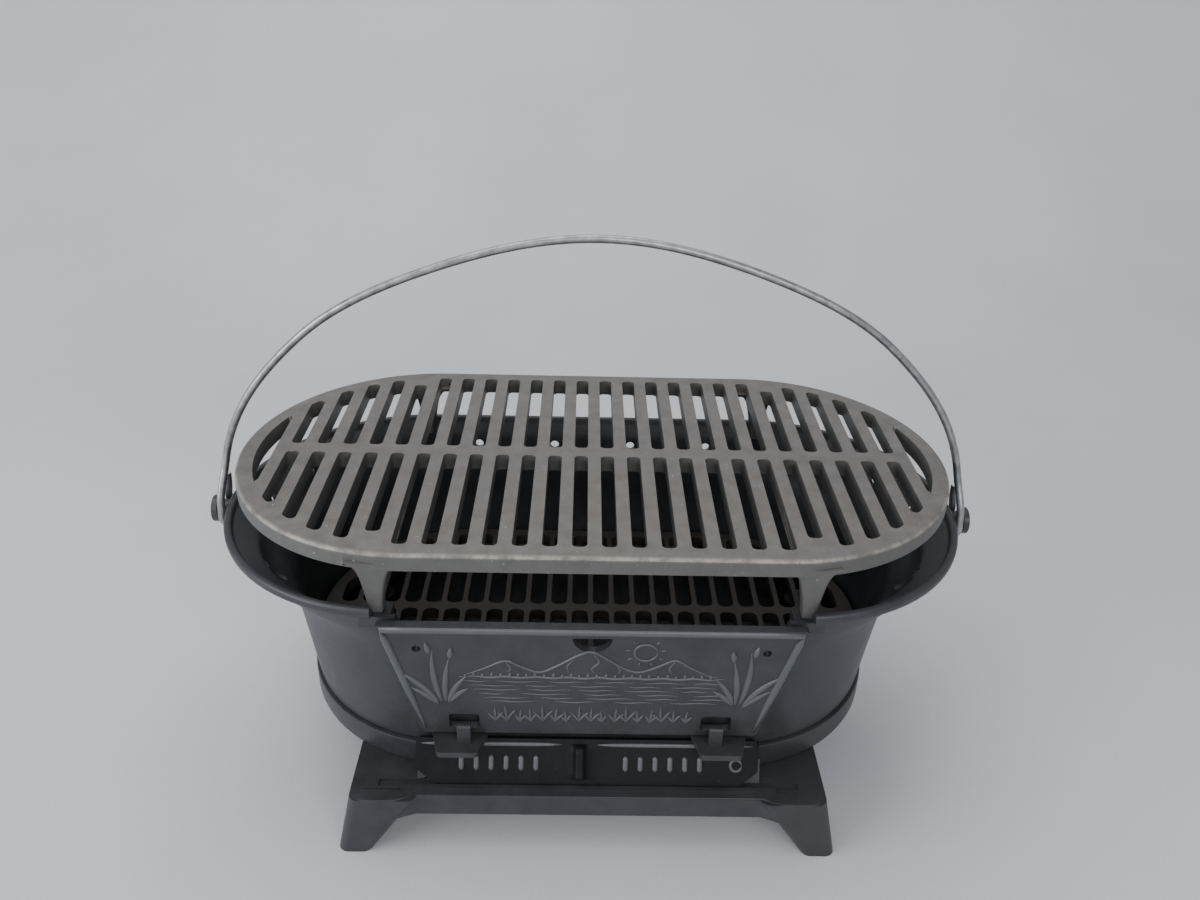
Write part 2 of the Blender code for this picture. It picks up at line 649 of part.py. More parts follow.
def platform_outline(inset, inner=False):
    """The platform seen from above: its long edges step back between the legs."""
    x = PLATFORM_HALF_LENGTH - inset
    y = PLATFORM_HALF_DEPTH - inset
    if inner:
        step = APRON_RECESS
        corners = [(-x, -y + step), (x, -y + step), (x, y - step), (-x, y - step)]
        return rounded(corners, APRON_INNER_RADIUS, 3)
    near, far = APRON_HALF_LENGTH, APRON_HALF_LENGTH + APRON_STEP
    back = y - APRON_RECESS
    half = [(-far, -y), (-near, -back), (near, -back), (far, -y)]
    corners = rounded([(-x, -y), (x, -y), (x, y), (-x, y)], CORNER_RADIUS, 4)
    quarter = len(corners) // 4
    other = [(-px, -py) for px, py in half]
    return corners[:quarter] + half + corners[quarter:3 * quarter] + other + corners[3 * quarter:]


def platform():
    """The platform's plate, and the apron that hangs from its edge."""
    middle = Matrix.Translation((0, 0, (FLOOR_TOP + FLOOR_BOTTOM) / 2))
    top = plate("platform", [platform_outline(0)], FLOOR_TOP - FLOOR_BOTTOM, TOOLS, middle)
    height = FLOOR_TOP - INTO_PLATFORM - APRON_BOTTOM
    outlines = [platform_outline(APRON_OVERLAP), platform_outline(APRON_WALL, inner=True)]
    hang = Matrix.Translation((0, 0, APRON_BOTTOM + height / 2))
    apron = plate("apron", outlines, height, TOOLS, hang)
    return [top, apron]


def leg_rings(inset, side, front, bottom, top, open_inside):
    """Two rounded rectangles: the leg's sections at its foot and under the platform."""
    rings = []
    for height in (bottom, top):
        part = height / FLOOR_TOP
        outer_x = FOOT_OUTER + (PLATFORM_HALF_LENGTH - FOOT_OUTER) * part - inset
        inner_x = FOOT_INNER + (LEG_INNER - FOOT_INNER) * part
        inner_y = FOOT_INNER_Y + (LEG_INNER_Y - FOOT_INNER_Y) * part
        outer_y = PLATFORM_HALF_DEPTH - inset
        if open_inside:
            inner_x -= LEG_CUT_REACH
            inner_y -= LEG_CUT_REACH
        corners = [(inner_x, inner_y), (outer_x, inner_y), (outer_x, outer_y), (inner_x, outer_y)]
        radius = LEG_CUT_RADIUS if open_inside else CORNER_RADIUS * LEG_RADIUS_SHARE
        points = [(side * x, front * y) for x, y in rounded(corners, radius, 3)]
        rings.append(ring(points, height))
    return rings


def leg(side, front):
    """A splayed leg of angle section: a tapered block and the cutter that hollows its inside."""
    name = f"{side}_{front}"
    solid = leg_rings(0.0, side, front, 0.0, FLOOR_TOP - INTO_PLATFORM, False)
    inside = leg_rings(LEG_WALL, side, front, LEG_CUT_BELOW, FLOOR_BOTTOM - INTO_PLATFORM, True)
    return loft(f"leg_{name}", solid, TOOLS), loft(f"leg_hollow_{name}", inside, TOOLS)


def draft_point(along, inward):
    """(y, z) at a distance up the draft door's slant from its foot, and in from its front face."""
    y = DRAFT_FOOT_Y + along * math.sin(DRAFT_TILT) + inward * math.cos(DRAFT_TILT)
    z = DRAFT_FOOT_Z + along * math.cos(DRAFT_TILT) - inward * math.sin(DRAFT_TILT)
    return y, z


def front_wall():
    """The leaning front wall behind the draft door, and the ridge that closes the door's groove."""
    behind = DRAFT_THICKNESS + DRAFT_PLAY
    seat_along = (BOWL_SEAT - DRAFT_FOOT_Z + behind * math.sin(DRAFT_TILT)) / math.cos(DRAFT_TILT)
    foot_along = (FLOOR_BOTTOM - DRAFT_FOOT_Z + behind * math.sin(DRAFT_TILT)) / math.cos(DRAFT_TILT)
    section = [
        draft_point(foot_along, behind), draft_point(seat_along, behind),
        (FRONT_WALL_TOP_Y, BOWL_SEAT), (FRONT_WALL_FOOT_Y, FLOOR_BOTTOM),
    ]
    wall = prism_along_x("front_wall", section, FRONT_HALF_WIDTH, TOOLS)
    ridge = box(
        "ridge", (-RIDGE_HALF_LENGTH, RIDGE_FRONT_Y, FLOOR_BOTTOM),
        (RIDGE_HALF_LENGTH, RIDGE_BACK_Y, FLOOR_TOP + RIDGE_RISE), TOOLS,
    )
    return [wall, ridge]


def base_cuts():
    """The draft openings, the door's groove and the gap in the collar over the front wall."""
    inner, outer, low, high = DRAFT_OPENING
    cuts = [
        box(
            f"draft_opening_{side}", (min(side * inner, side * outer), DRAFT_CUT_FRONT_Y, low),
            (max(side * inner, side * outer), DRAFT_CUT_BACK_Y, high), TOOLS,
        )
        for side in (-1, 1)
    ]
    collar_gap = box(
        "collar_gap", (-FRONT_HALF_WIDTH, COLLAR_GAP_FRONT_Y, BOWL_SEAT),
        (FRONT_HALF_WIDTH, COLLAR_GAP_BACK_Y, COLLAR_GAP_TOP), TOOLS,
    )
    groove_floor = DRAFT_FOOT_Z - DRAFT_THICKNESS * math.sin(DRAFT_TILT) - GAP
    groove = box(
        "groove", (-GROOVE_HALF_LENGTH, RIDGE_BACK_Y, groove_floor),
        (GROOVE_HALF_LENGTH, GROOVE_BACK_Y, GROOVE_TOP), TOOLS,
    )
    return cuts + [collar_gap, groove]


def base():
    pan = base_pan()
    legs = [leg(side, front) for side in (-1, 1) for front in (-1, 1)]
    bosses = [
        rod(f"boss_{name}", (x, y, FLOOR_BOTTOM), (x, y, BOWL_SEAT), BOSS_RADIUS, TOOLS)
        for name, x, y in screw_places()
    ]
    boolean(pan, "UNION", [block for block, hollow in legs])
    boolean(pan, "UNION", platform() + front_wall() + bosses)
    boolean(pan, "DIFFERENCE", [hollow for block, hollow in legs])
    boolean(pan, "DIFFERENCE", base_cuts() + screw_holes(*BOSS_HOLE))
    finish(pan, BLACK_IRON)


def slot_outline(x, width, inner, outer_ends, side, row, radius, steps):
    """A slot between the middle rib and the rim, its outer end slanted with the rim."""
    near, far = outer_ends
    corners = [(x - width / 2, inner), (x + width / 2, inner), (x + width / 2, far), (x - width / 2, near)]
    return [(side * px, row * py) for px, py in rounded(corners, radius, steps)]


def slotted(half_length, half_depth, rim, rib, pitch, width, radius, short_column=None):
    """The slots of an oval grate: one row on each side of the middle rib, in mirrored columns."""
    centre = half_length - half_depth
    reach = half_depth - rim
    slots = []
    for column in range(GRATE_COLUMNS):
        x = pitch * (column + 0.5)
        ends = []
        for edge in (x - width / 2, x + width / 2):
            past = max(0.0, edge - centre)
            ends.append(math.sqrt(reach ** 2 - past ** 2))
        if column == short_column:
            ends = [SHORT_COLUMN_END, SHORT_COLUMN_END]
        for side in (-1, 1):
            for row in (-1, 1):
                slots.append(slot_outline(x, width, rib / 2, ends, side, row, radius, 2))
    return slots


def crescents():
    """The cooking grate's end slots, between the last bar and the rim's arc."""
    centre = GRATE_HALF_LENGTH - GRATE_HALF_DEPTH
    reach = GRATE_HALF_DEPTH - GRATE_RIM
    flat_x = GRATE_PITCH * GRATE_COLUMNS + (GRATE_PITCH - GRATE_SLOT) / 2
    half = math.acos((flat_x + CRESCENT_MARGIN - centre) / reach)
    arc = [-half + 2 * half * i / CRESCENT_STEPS for i in range(CRESCENT_STEPS + 1)]
    points = [(centre + reach * math.cos(a), reach * math.sin(a)) for a in arc]
    points += [(flat_x, points[-1][1] - CRESCENT_CHAMFER), (flat_x, points[0][1] + CRESCENT_CHAMFER)]
    return [[(side * x, y) for x, y in points] for side in (-1, 1)]


def grate_leg(side, front):
    """A leg of the cooking grate: wide where it meets the rim, narrow at its foot."""
    top, foot = GRATE_TOP - GRATE_THICKNESS, SEAT_TOP + GAP
    rings = []
    knee = foot + LEG_MIDDLE_PART * (top - foot)
    head, head_face = top + LEG_INTO_GRATE, GRATE_HALF_DEPTH - LEG_TOP_INSET
    sections = (
        (foot, LEG_CENTRE, LEG_FOOT_WIDTH, LEG_FOOT_FACE, LEG_FOOT_DEPTH),
        (knee, LEG_CENTRE, LEG_MIDDLE_WIDTH, LEG_MIDDLE_FACE, LEG_MIDDLE_DEPTH),
        (head, LEG_TOP_CENTRE, LEG_TOP_WIDTH, head_face, LEG_TOP_DEPTH),
    )
    for height, middle, width, face, depth in sections:
        corners = [
            (middle - width / 2, face - depth), (middle + width / 2, face - depth),
            (middle + width / 2, face), (middle - width / 2, face),
        ]
        points = [(side * x, front * y) for x, y in rounded(corners, LEG_EDGE_RADIUS, 1)]
        rings.append(ring(points, height))
    return loft(f"grate_leg_{side}_{front}", rings, TOOLS)


def cooking_grate():
    slots = slotted(
        GRATE_HALF_LENGTH, GRATE_HALF_DEPTH, GRATE_RIM, GRATE_RIB, GRATE_PITCH, GRATE_SLOT,
        GRATE_SLOT_RADIUS, SHORT_COLUMN,
    )
    outline = stadium(GRATE_HALF_LENGTH, GRATE_HALF_DEPTH, GRATE_ARC_STEPS)
    middle = Matrix.Translation((0, 0, GRATE_TOP - GRATE_THICKNESS / 2))
    grate = plate("cooking_grate", [outline] + slots + crescents(), GRATE_THICKNESS, PARTS, middle)
    boolean(grate, "UNION", [grate_leg(side, front) for side in (-1, 1) for front in (-1, 1)])
    finish(grate, GREY_IRON)


def charcoal_grate():
    slots = slotted(
        COAL_HALF_LENGTH, COAL_HALF_DEPTH, COAL_RIM, COAL_RIB, COAL_PITCH, COAL_SLOT, COAL_SLOT_RADIUS
    )
    thickness = COAL_TOP - LEDGE_TOP - GAP
    middle = Matrix.Translation((0, 0, COAL_TOP - thickness / 2))
    outline = stadium(COAL_HALF_LENGTH, COAL_HALF_DEPTH)
    grate = plate("charcoal_grate", [outline] + slots, thickness, PARTS, middle)
    finish(grate, DARK_IRON)


def door_half_width(height):
    foot = -DOOR_THICKNESS / 2
    part = (height - foot) / (DOOR_TOP - foot)
    return DOOR_BOTTOM_HALF_WIDTH + part * (DOOR_TOP_HALF_WIDTH - DOOR_BOTTOM_HALF_WIDTH)


def door_trapezoid(inset, radius):
    low, high = -DOOR_THICKNESS / 2 + inset, DOOR_TOP - inset
    low_half, high_half = door_half_width(low) - inset, door_half_width(high) - inset
    return rounded([(-low_half, low), (low_half, low), (high_half, high), (-high_half, high)], radius, 3)


def fire_door():
    """The door in its own plane (x across, y up from the hinge), then stood up and leaned out."""
    stand = Matrix.Rotation(math.radians(90), 4, "X")
    lean = Matrix.Translation((0, HINGE_Y, HINGE_Z)) @ Matrix.Rotation(DOOR_TILT, 4, "X") @ stand
    holes = []
    for side in (-1, 1):
        middle = side * NUB_X
        left, right = middle - DOOR_SLOT_WIDTH / 2, middle + DOOR_SLOT_WIDTH / 2
        low = DOOR_THICKNESS / 2
        slot = [(left, low), (right, low), (right, DOOR_SLOT_TOP), (left, DOOR_SLOT_TOP)]
        holes.append(rounded(slot, DOOR_CORNER_RADIUS, 3))
        centre = Vector((side * DOOR_HOLE_X, DOOR_HOLE_HEIGHT))
        angles = [2 * math.pi * i / DOOR_HOLE_STEPS for i in range(DOOR_HOLE_STEPS)]
        holes.append([
            tuple(centre + DOOR_HOLE_RADIUS * Vector((math.cos(a), math.sin(a)))) for a in angles
        ])
    half_turn = [math.pi + math.pi * i / FINGER_STEPS for i in range(FINGER_STEPS + 1)]
    holes.append([
        (FINGER_RADIUS * math.cos(a), FINGER_HEIGHT + FINGER_RADIUS * math.sin(a)) for a in half_turn
    ])
    outline = door_trapezoid(0.0, DOOR_CORNER_RADIUS)
    door = plate("fire_door", [outline] + holes, DOOR_THICKNESS, PARTS, lean)
    thickness = DOOR_BORDER_RISE + BORDER_INTO_DOOR
    out = Matrix.Translation((0, 0, DOOR_THICKNESS / 2 + DOOR_BORDER_RISE - thickness / 2))
    frame = [
        door_trapezoid(BORDER_INSET, BORDER_OUTER_RADIUS), door_trapezoid(DOOR_BORDER, BORDER_INNER_RADIUS),
    ]
    border = plate("door_border", frame, thickness, TOOLS, lean @ out)
    cut = box("border_foot", BORDER_CUT_LOW, BORDER_CUT_HIGH, TOOLS)
    boolean(border, "DIFFERENCE", [cut])
    boolean(door, "UNION", [border])
    finish(door, BLACK_IRON)


def draft_door():
    """The sliding plate, with an upright grip fin in its middle that flares into the plate."""
    foot_half = DRAFT_HALF_WIDTH - DRAFT_CORNER_X
    corners = [
        (-foot_half, 0.0), (foot_half, 0.0),
        (DRAFT_HALF_WIDTH, DRAFT_CORNER_UP), (DRAFT_HALF_WIDTH, DRAFT_SLANT),
        (-DRAFT_HALF_WIDTH, DRAFT_SLANT), (-DRAFT_HALF_WIDTH, DRAFT_CORNER_UP),
    ]
    front = Matrix.Translation((DRAFT_REST, DRAFT_FOOT_Y, DRAFT_FOOT_Z))
    stand = Matrix.Rotation(math.radians(90) - DRAFT_TILT, 4, "X")
    inward = Matrix.Translation((0, 0, -DRAFT_THICKNESS / 2))
    outline = rounded(corners, DRAFT_CORNER_RADIUS, 4)
    door = plate("draft_door", [outline], DRAFT_THICKNESS, PARTS, front @ stand @ inward)
    half = FIN_WIDTH / 2
    right_half = [
        (FIN_FLARE_HALF_WIDTH, FIN_INTO_PLATE), (FIN_FLARE_HALF_WIDTH, 0.0),
        (half + FIN_FLARE, FIN_FLARE_RISE), (half, FIN_SHOULDER_RISE), (half * FIN_TOP_SHARE, FIN_RISE),
    ]
    profile = right_half + [(-x, out) for x, out in reversed(right_half)]
    rings = [
        [front @ stand @ Vector((FIN_X + x, along, out)) for x, out in profile]
        for along in (FIN_FOOT, DRAFT_SLANT - FIN_HEAD_INSET)
    ]
    fin = loft("grip_fin", rings, TOOLS)
    boolean(door, "UNION", [fin])
    finish(door, BLACK_IRON)


def bail_side(side):
    """Points down one side of the bail: the arch, the bend to the ear, the hook and its tip."""
    points = []
    ear_angle = math.acos((EAR_HEIGHT + BAIL_BEND_START - BAIL_CENTRE_HEIGHT) / BAIL_RISE)
    sweep = BAIL_SWEEP_START - EAR_HEIGHT - BAIL_SWEEP_END
    for i in range(BAIL_STEPS + 1):
        angle = ear_angle * (i / BAIL_STEPS) ** BAIL_STEP_SPREAD
        if angle < BAIL_TURN:
            swell = -BAIL_FLAT * math.sin(math.pi * angle / BAIL_TURN) ** 2
        else:
            swell = BAIL_FULL * math.sin(math.pi * (angle - BAIL_TURN) / (ear_angle - BAIL_TURN)) ** 2
        x = (BAIL_HALF_SPAN + swell) * math.sin(angle)
        z = BAIL_CENTRE_HEIGHT + (BAIL_RISE + swell) * math.cos(angle)
        part = min(1.0, max(0.0, (BAIL_SWEEP_START - z) / sweep))
        y = -HOOK_RADIUS * part * part * (3 - 2 * part)
        points.append((x, y, z))
    for i in range(HOOK_STEPS + 1):
        angle = math.pi + math.pi * i / HOOK_STEPS
        height = EAR_HEIGHT + HOOK_RADIUS * math.sin(angle)
        points.append((BAIL_HALF_SPAN, HOOK_RADIUS * math.cos(angle), height))
    points += HOOK_TIP
    return [(side * x, y, z) for x, y, z in points]


def bail_handle():
    points = bail_side(-1)[::-1] + bail_side(1)[1:]
    curve = bpy.data.curves.new("bail_handle", "CURVE")
    curve.dimensions = "3D"
    curve.bevel_depth = WIRE_RADIUS
    curve.bevel_resolution = 2
    curve.use_fill_caps = True
    spline = curve.splines.new("POLY")
    spline.points.add(len(points) - 1)
    for point, place in zip(spline.points, points):
        point.co = (*place, 1.0)
    bail = bpy.data.objects.new("bail_handle", curve)
    PARTS.objects.link(bail)
    curve.materials.append(material(*BRIGHT_WIRE))


def fasteners():
    """A screw, a washer and a nut at each lug, the head inside the bowl and the nut under the base."""
    for name, x, y in screw_places():
        head_bottom = LUG_TOP + GAP
        shank_top = head_bottom + SHANK_INTO_HEAD
        screw = rod(f"bowl_screw_{name}", (x, y, SCREW_END), (x, y, shank_top), SCREW_RADIUS, PARTS, 16)
        head = rod(
            f"screw_head_{name}", (x, y, head_bottom), (x, y, head_bottom + HEAD_HEIGHT),
            HEAD_CORNER_RADIUS, TOOLS, 6,
        )
        boolean(screw, "UNION", [head])
        finish(screw, PLAIN_STEEL)
        washer_top = FLOOR_BOTTOM - GAP
        washer_bottom = washer_top - WASHER_THICKNESS
        flat = washer(
            f"bowl_washer_{name}", WASHER_RADIUS, SCREW_HOLE_RADIUS, washer_bottom, washer_top,
            (x, y), PARTS, 24, 16,
        )
        finish(flat, PLAIN_STEEL)
        nut_top = washer_bottom - GAP
        nut = washer(
            f"bowl_nut_{name}", HEAD_CORNER_RADIUS, SCREW_HOLE_RADIUS, nut_top - NUT_HEIGHT, nut_top,
            (x, y), PARTS, 6, 16,
        )
        finish(nut, PLAIN_STEEL)


clear_scene()
PARTS = collection_named("hibachi_grill")
TOOLS = collection_named("cutters", hidden=True)
fire_bowl()
base()
cooking_grate()
charcoal_grate()
fire_door()
draft_door()
bail_handle()
fasteners()
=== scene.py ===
import math

import bmesh
import bpy
from mathutils import Matrix, Vector


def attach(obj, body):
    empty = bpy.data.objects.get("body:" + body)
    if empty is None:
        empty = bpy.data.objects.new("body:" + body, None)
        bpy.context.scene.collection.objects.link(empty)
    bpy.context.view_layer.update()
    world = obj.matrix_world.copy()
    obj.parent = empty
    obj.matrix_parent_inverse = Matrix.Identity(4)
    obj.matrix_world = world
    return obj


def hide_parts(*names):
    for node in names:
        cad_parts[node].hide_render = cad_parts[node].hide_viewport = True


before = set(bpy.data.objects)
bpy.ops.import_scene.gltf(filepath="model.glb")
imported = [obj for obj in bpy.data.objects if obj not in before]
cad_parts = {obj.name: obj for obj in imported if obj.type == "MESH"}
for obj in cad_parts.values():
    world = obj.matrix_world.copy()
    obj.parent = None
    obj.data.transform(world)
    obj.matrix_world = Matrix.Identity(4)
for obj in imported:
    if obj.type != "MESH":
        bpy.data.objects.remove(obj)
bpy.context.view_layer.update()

MM = 0.001
GAP = 0.3 * MM
ARC_STEPS = 44
SIDE_STEPS = 12

# Fire bowl, as (half length, half depth, height) of its outside.
FOOT = (181.0 * MM, 95.6 * MM)
OUTSIDE = (
    (183.80 * MM, 98.20 * MM, 62.85 * MM),
    (184.18 * MM, 98.58 * MM, 62.93 * MM),
    (184.51 * MM, 98.91 * MM, 63.14 * MM),
    (184.72 * MM, 99.12 * MM, 63.47 * MM),
    (184.80 * MM, 99.20 * MM, 63.85 * MM),
    (185.8 * MM, 99.8 * MM, 71.0 * MM),
    (186.9 * MM, 100.5 * MM, 80.0 * MM),
    (188.0 * MM, 101.2 * MM, 89.0 * MM),
    (189.1 * MM, 101.9 * MM, 98.0 * MM),
    (190.3 * MM, 102.6 * MM, 107.0 * MM),
    (191.5 * MM, 103.3 * MM, 116.0 * MM),
    (193.0 * MM, 104.1 * MM, 126.0 * MM),
    (195.2 * MM, 105.0 * MM, 136.0 * MM),
    (199.8 * MM, 106.6 * MM, 144.0 * MM),
    (206.4 * MM, 108.4 * MM, 149.8 * MM),
    (211.4 * MM, 109.8 * MM, 155.0 * MM),
    (214.4 * MM, 110.8 * MM, 160.5 * MM),
    (217.2 * MM, 111.8 * MM, 165.2 * MM),
    (221.4 * MM, 113.0 * MM, 168.2 * MM),
    (226.0 * MM, 114.6 * MM, 169.8 * MM),
)
LIP = (
    (229.6 * MM, 116.1 * MM, 170.0 * MM),
    (230.7 * MM, 117.2 * MM, 170.9 * MM),
    (231.0 * MM, 117.5 * MM, 172.2 * MM),
    (231.0 * MM, 117.5 * MM, 174.0 * MM),
    (230.6 * MM, 117.1 * MM, 175.2 * MM),
    (229.7 * MM, 116.2 * MM, 175.9 * MM),
    (228.4 * MM, 114.9 * MM, 176.0 * MM),
    (227.2 * MM, 113.7 * MM, 175.6 * MM),
    (226.4 * MM, 112.9 * MM, 174.6 * MM),
    (226.0 * MM, 112.5 * MM, 172.6 * MM),
    (225.0 * MM, 111.6 * MM, 171.0 * MM),
)
WALL = 4.0 * MM
LEDGE = (183.4 * MM, 97.2 * MM, 80.7 * MM)
LEDGE_WIDTH = 9.0 * MM
BOWL_SEAT = 58.0 * MM
COLLAR = (187.0 * MM, 102.0 * MM)
COLLAR_TOP = 62.5 * MM
SEAT_TOP = 168.0 * MM

VENT_RADIUS = 3.25 * MM
VENTS = (
    (162.0 * MM, 110.5 * MM, 104.5 * MM, (-56.0, -31.0, -9.0, 9.0, 31.0, 56.0)),
    (151.0 * MM, 107.5 * MM, 100.0 * MM, (-31.0, 31.0)),
)
BACK_VENTS = (28.0 * MM, 84.0 * MM)
BACK_VENT_HEIGHT = 157.0 * MM

EAR_HEIGHT = 165.0 * MM
NECK_RADIUS = 6.0 * MM
HEAD_START = 239.6 * MM
HEAD_END = 243.2 * MM
HEAD_RADIUS = 8.6 * MM
WIRE_RADIUS = 2.4 * MM
BAIL_HALF_SPAN = 236.4 * MM
BAIL_RISE = 191.0 * MM
BAIL_CENTRE_HEIGHT = 157.0 * MM
HOOK_RADIUS = 8.8 * MM

GRATE_TOP = 211.0 * MM
GRATE_THICKNESS = 10.5 * MM
LEG_CENTRE = 119.6 * MM

COAL_TOP = 89.0 * MM

HINGE = Vector((0.0, -104.2 * MM, 79.5 * MM))
DOOR_TILT = math.radians(7.1)
DOOR_THICKNESS = 4.6 * MM
DOOR_TOP = 87.0 * MM
NUB_X = 74.5 * MM
TONGUE_X = 78.0 * MM
TONGUE_TOP = 75.0 * MM

FLOOR_TOP = 45.0 * MM
FLOOR_BOTTOM = 41.0 * MM
PLATFORM = (143.0 * MM, 130.0 * MM)
FOOT_OUTER = 153.0 * MM
FOOT_INNER = 132.0 * MM
DRAFT_REST = -1.2 * MM
DRAFT_HALF_WIDTH = 103.4 * MM
DRAFT_TILT = math.radians(28.1)
DRAFT_FOOT = (-117.5 * MM, 45.8 * MM)
DRAFT_SLANT = 28.0 * MM
DRAFT_THICKNESS = 3.6 * MM

SCREW_CENTRE_X = 85.8 * MM
SCREW_RING = 80.0 * MM
SCREW_ANGLE = math.radians(33.0)


def collection_named(name, hidden=False):
    made = bpy.data.collections.new(name)
    made.hide_render = hidden
    bpy.context.scene.collection.children.link(made)
    return made


SHOWN = collection_named("visual")
TOOLS = collection_named("cutters", hidden=True)


def object_from(name, bm, collection):
    bmesh.ops.recalc_face_normals(bm, faces=bm.faces)
    mesh = bpy.data.meshes.new(name)
    bm.to_mesh(mesh)
    bm.free()
    obj = bpy.data.objects.new(name, mesh)
    collection.objects.link(obj)
    obj.hide_render = collection is TOOLS
    return obj


def joined(name, pieces, collection):
    """One object out of several that don't touch each other; the pieces are removed."""
    bm = bmesh.new()
    for piece in pieces:
        bm.from_mesh(piece.data)
        bpy.data.objects.remove(piece, do_unlink=True)
    return object_from(name, bm, collection)


def boolean(target, operation, other):
    step = target.modifiers.new(f"{operation.lower()} {other.name}", "BOOLEAN")
    step.operation = operation
    step.solver = "EXACT"
    step.object = other


def soften(obj, width, segments=2, angle=32.0, weld=True):
    """Bevelled edges with the flat faces still shaded flat. The overlap clamp leaves a casting that
    has short edges somewhere almost sharp. The weld takes out the slivers, but the cooking grate
    and the base shade flatter with them left in."""
    edges = obj.modifiers.new("edges", "BEVEL")
    edges.width = width
    edges.segments = segments
    edges.limit_method = "ANGLE"
    edges.angle_limit = math.radians(angle)
    edges.use_clamp_overlap = True
    edges.miter_outer = "MITER_ARC"
    if weld:
        merged = obj.modifiers.new("merged", "WELD")
        merged.merge_threshold = 0.002 * MM
    flats = obj.modifiers.new("flats", "WEIGHTED_NORMAL")
    flats.keep_sharp = True


def settle(obj):
    """Applies the booleans, because a live one leaves its tool behind when a pose moves the piece."""
    for step in [step for step in obj.modifiers if step.type == "BOOLEAN"]:
        with bpy.context.temp_override(object=obj, active_object=obj, selected_objects=[obj]):
            bpy.ops.object.modifier_apply(modifier=step.name)


def dress(obj, body, look, replaced=()):
    obj.data.materials.clear()
    obj.data.materials.append(look)
    if obj.type == "MESH":
        obj.data.shade_smooth()
        settle(obj)
    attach(obj, body)
    if replaced:
        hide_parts(*replaced)


def rounded(points, radius, steps):
    """A closed outline whose corners are turned into arcs, each with the given number of steps."""
    outline = []
    count = len(points)
    for i, corner in enumerate(points):
        corner = Vector(corner)
        before = (Vector(points[i - 1]) - corner).normalized()
        after = (Vector(points[(i + 1) % count]) - corner).normalized()
        half = before.angle(after) / 2
        centre = corner + (before + after).normalized() * (radius / math.sin(half))
        start = (corner + before * (radius / math.tan(half)) - centre).normalized()
        end = (corner + after * (radius / math.tan(half)) - centre).normalized()
        for step in range(steps + 1):
            outline.append(tuple(centre + start.slerp(end, step / steps) * radius))
    return outline


def stadium(half_length, half_depth, steps=ARC_STEPS):
    """An outline with half-circle ends, and straight sides along X in short lengths."""
    centre = half_length - half_depth
    outline = []
    for side in (1, -1):
        for i in range(steps + 1):
            angle = math.radians(-90 + 180 * i / steps)
            outline.append((side * (centre + half_depth * math.cos(angle)), side * half_depth * math.sin(angle)))
        for i in range(1, SIDE_STEPS):
            outline.append((side * centre * (1 - 2 * i / SIDE_STEPS), side * half_depth))
    return outline


def ring(outline, height):
    return [Vector((x, y, height)) for x, y in outline]


def loft(name, rings, collection, closed=False):
    bm = bmesh.new()
    loops = [[bm.verts.new(point) for point in points] for points in rings]
    count = len(loops[0])
    pairs = list(zip(loops, loops[1:]))
    if closed:
        pairs.append((loops[-1], loops[0]))
    else:
        bm.faces.new(loops[0][::-1])
        bm.faces.new(loops[-1])
    for low, high in pairs:
        for i in range(count):
            j = (i + 1) % count
            bm.faces.new((low[i], low[j], high[j], high[i]))
    return object_from(name, bm, collection)


def plate(name, outlines, thickness, collection, transform=Matrix()):
    """A flat plate about z = 0 from an outline and its holes, as a mesh moved by transform."""
    curve = bpy.data.curves.new(name, "CURVE")
    curve.dimensions = "2D"
    curve.fill_mode = "BOTH"
    curve.extrude = thickness / 2
    for outline in outlines:
        spline = curve.splines.new("POLY")
        spline.points.add(len(outline) - 1)
        for point, (x, y) in zip(spline.points, outline):
            point.co = (x, y, 0.0, 1.0)
        spline.use_cyclic_u = True
    drawn = bpy.data.objects.new(name + "_outline", curve)
    TOOLS.objects.link(drawn)
    graph = bpy.context.evaluated_depsgraph_get()
    mesh = bpy.data.meshes.new_from_object(drawn.evaluated_get(graph))
    bpy.data.objects.remove(drawn, do_unlink=True)
    bm = bmesh.new()
    bm.from_mesh(mesh)
    bpy.data.meshes.remove(mesh)
    bmesh.ops.remove_doubles(bm, verts=bm.verts, dist=0.01 * MM)
    flat = [face for face in bm.faces if abs(face.normal.z) > 0.5 or face.calc_area() < MM * MM * 1e-3]
    bmesh.ops.beautify_fill(bm, faces=flat, edges=bm.edges, method="ANGLE")
    bm.transform(transform)
    return object_from(name, bm, collection)


def box(name, low, high, collection):
    bm = bmesh.new()
    size = Vector(high) - Vector(low)
    centre = (Vector(high) + Vector(low)) / 2
    bmesh.ops.create_cube(bm, size=1.0, matrix=Matrix.Translation(centre) @ Matrix.Diagonal((*size, 1)))
    return object_from(name, bm, collection)


def rod(name, start, end, radius, collection, sides=32, end_radius=None):
    start = Vector(start)
    along = Vector(end) - start
    half_step = Matrix.Rotation(math.pi / sides, 4, "Z")
    turn = Vector((0, 0, 1)).rotation_difference(along).to_matrix().to_4x4() @ half_step
    bm = bmesh.new()
    bmesh.ops.create_cone(
        bm, cap_ends=True, segments=sides, radius1=radius, radius2=end_radius or radius,
        depth=along.length, matrix=Matrix.Translation(start + along / 2) @ turn,
    )
    return object_from(name, bm, collection)


def prism_along_x(name, section, half_width, collection, centre_x=0.0):
    rings = [
        [Vector((x, y, z)) for y, z in section]
        for x in (centre_x - half_width, centre_x + half_width)
    ]
    return loft(name, rings, collection)


def screw_places():
    x = SCREW_CENTRE_X + SCREW_RING * math.cos(SCREW_ANGLE)
    y = SCREW_RING * math.sin(SCREW_ANGLE)
    return ((-x, -y), (x, -y), (-x, y), (x, y))


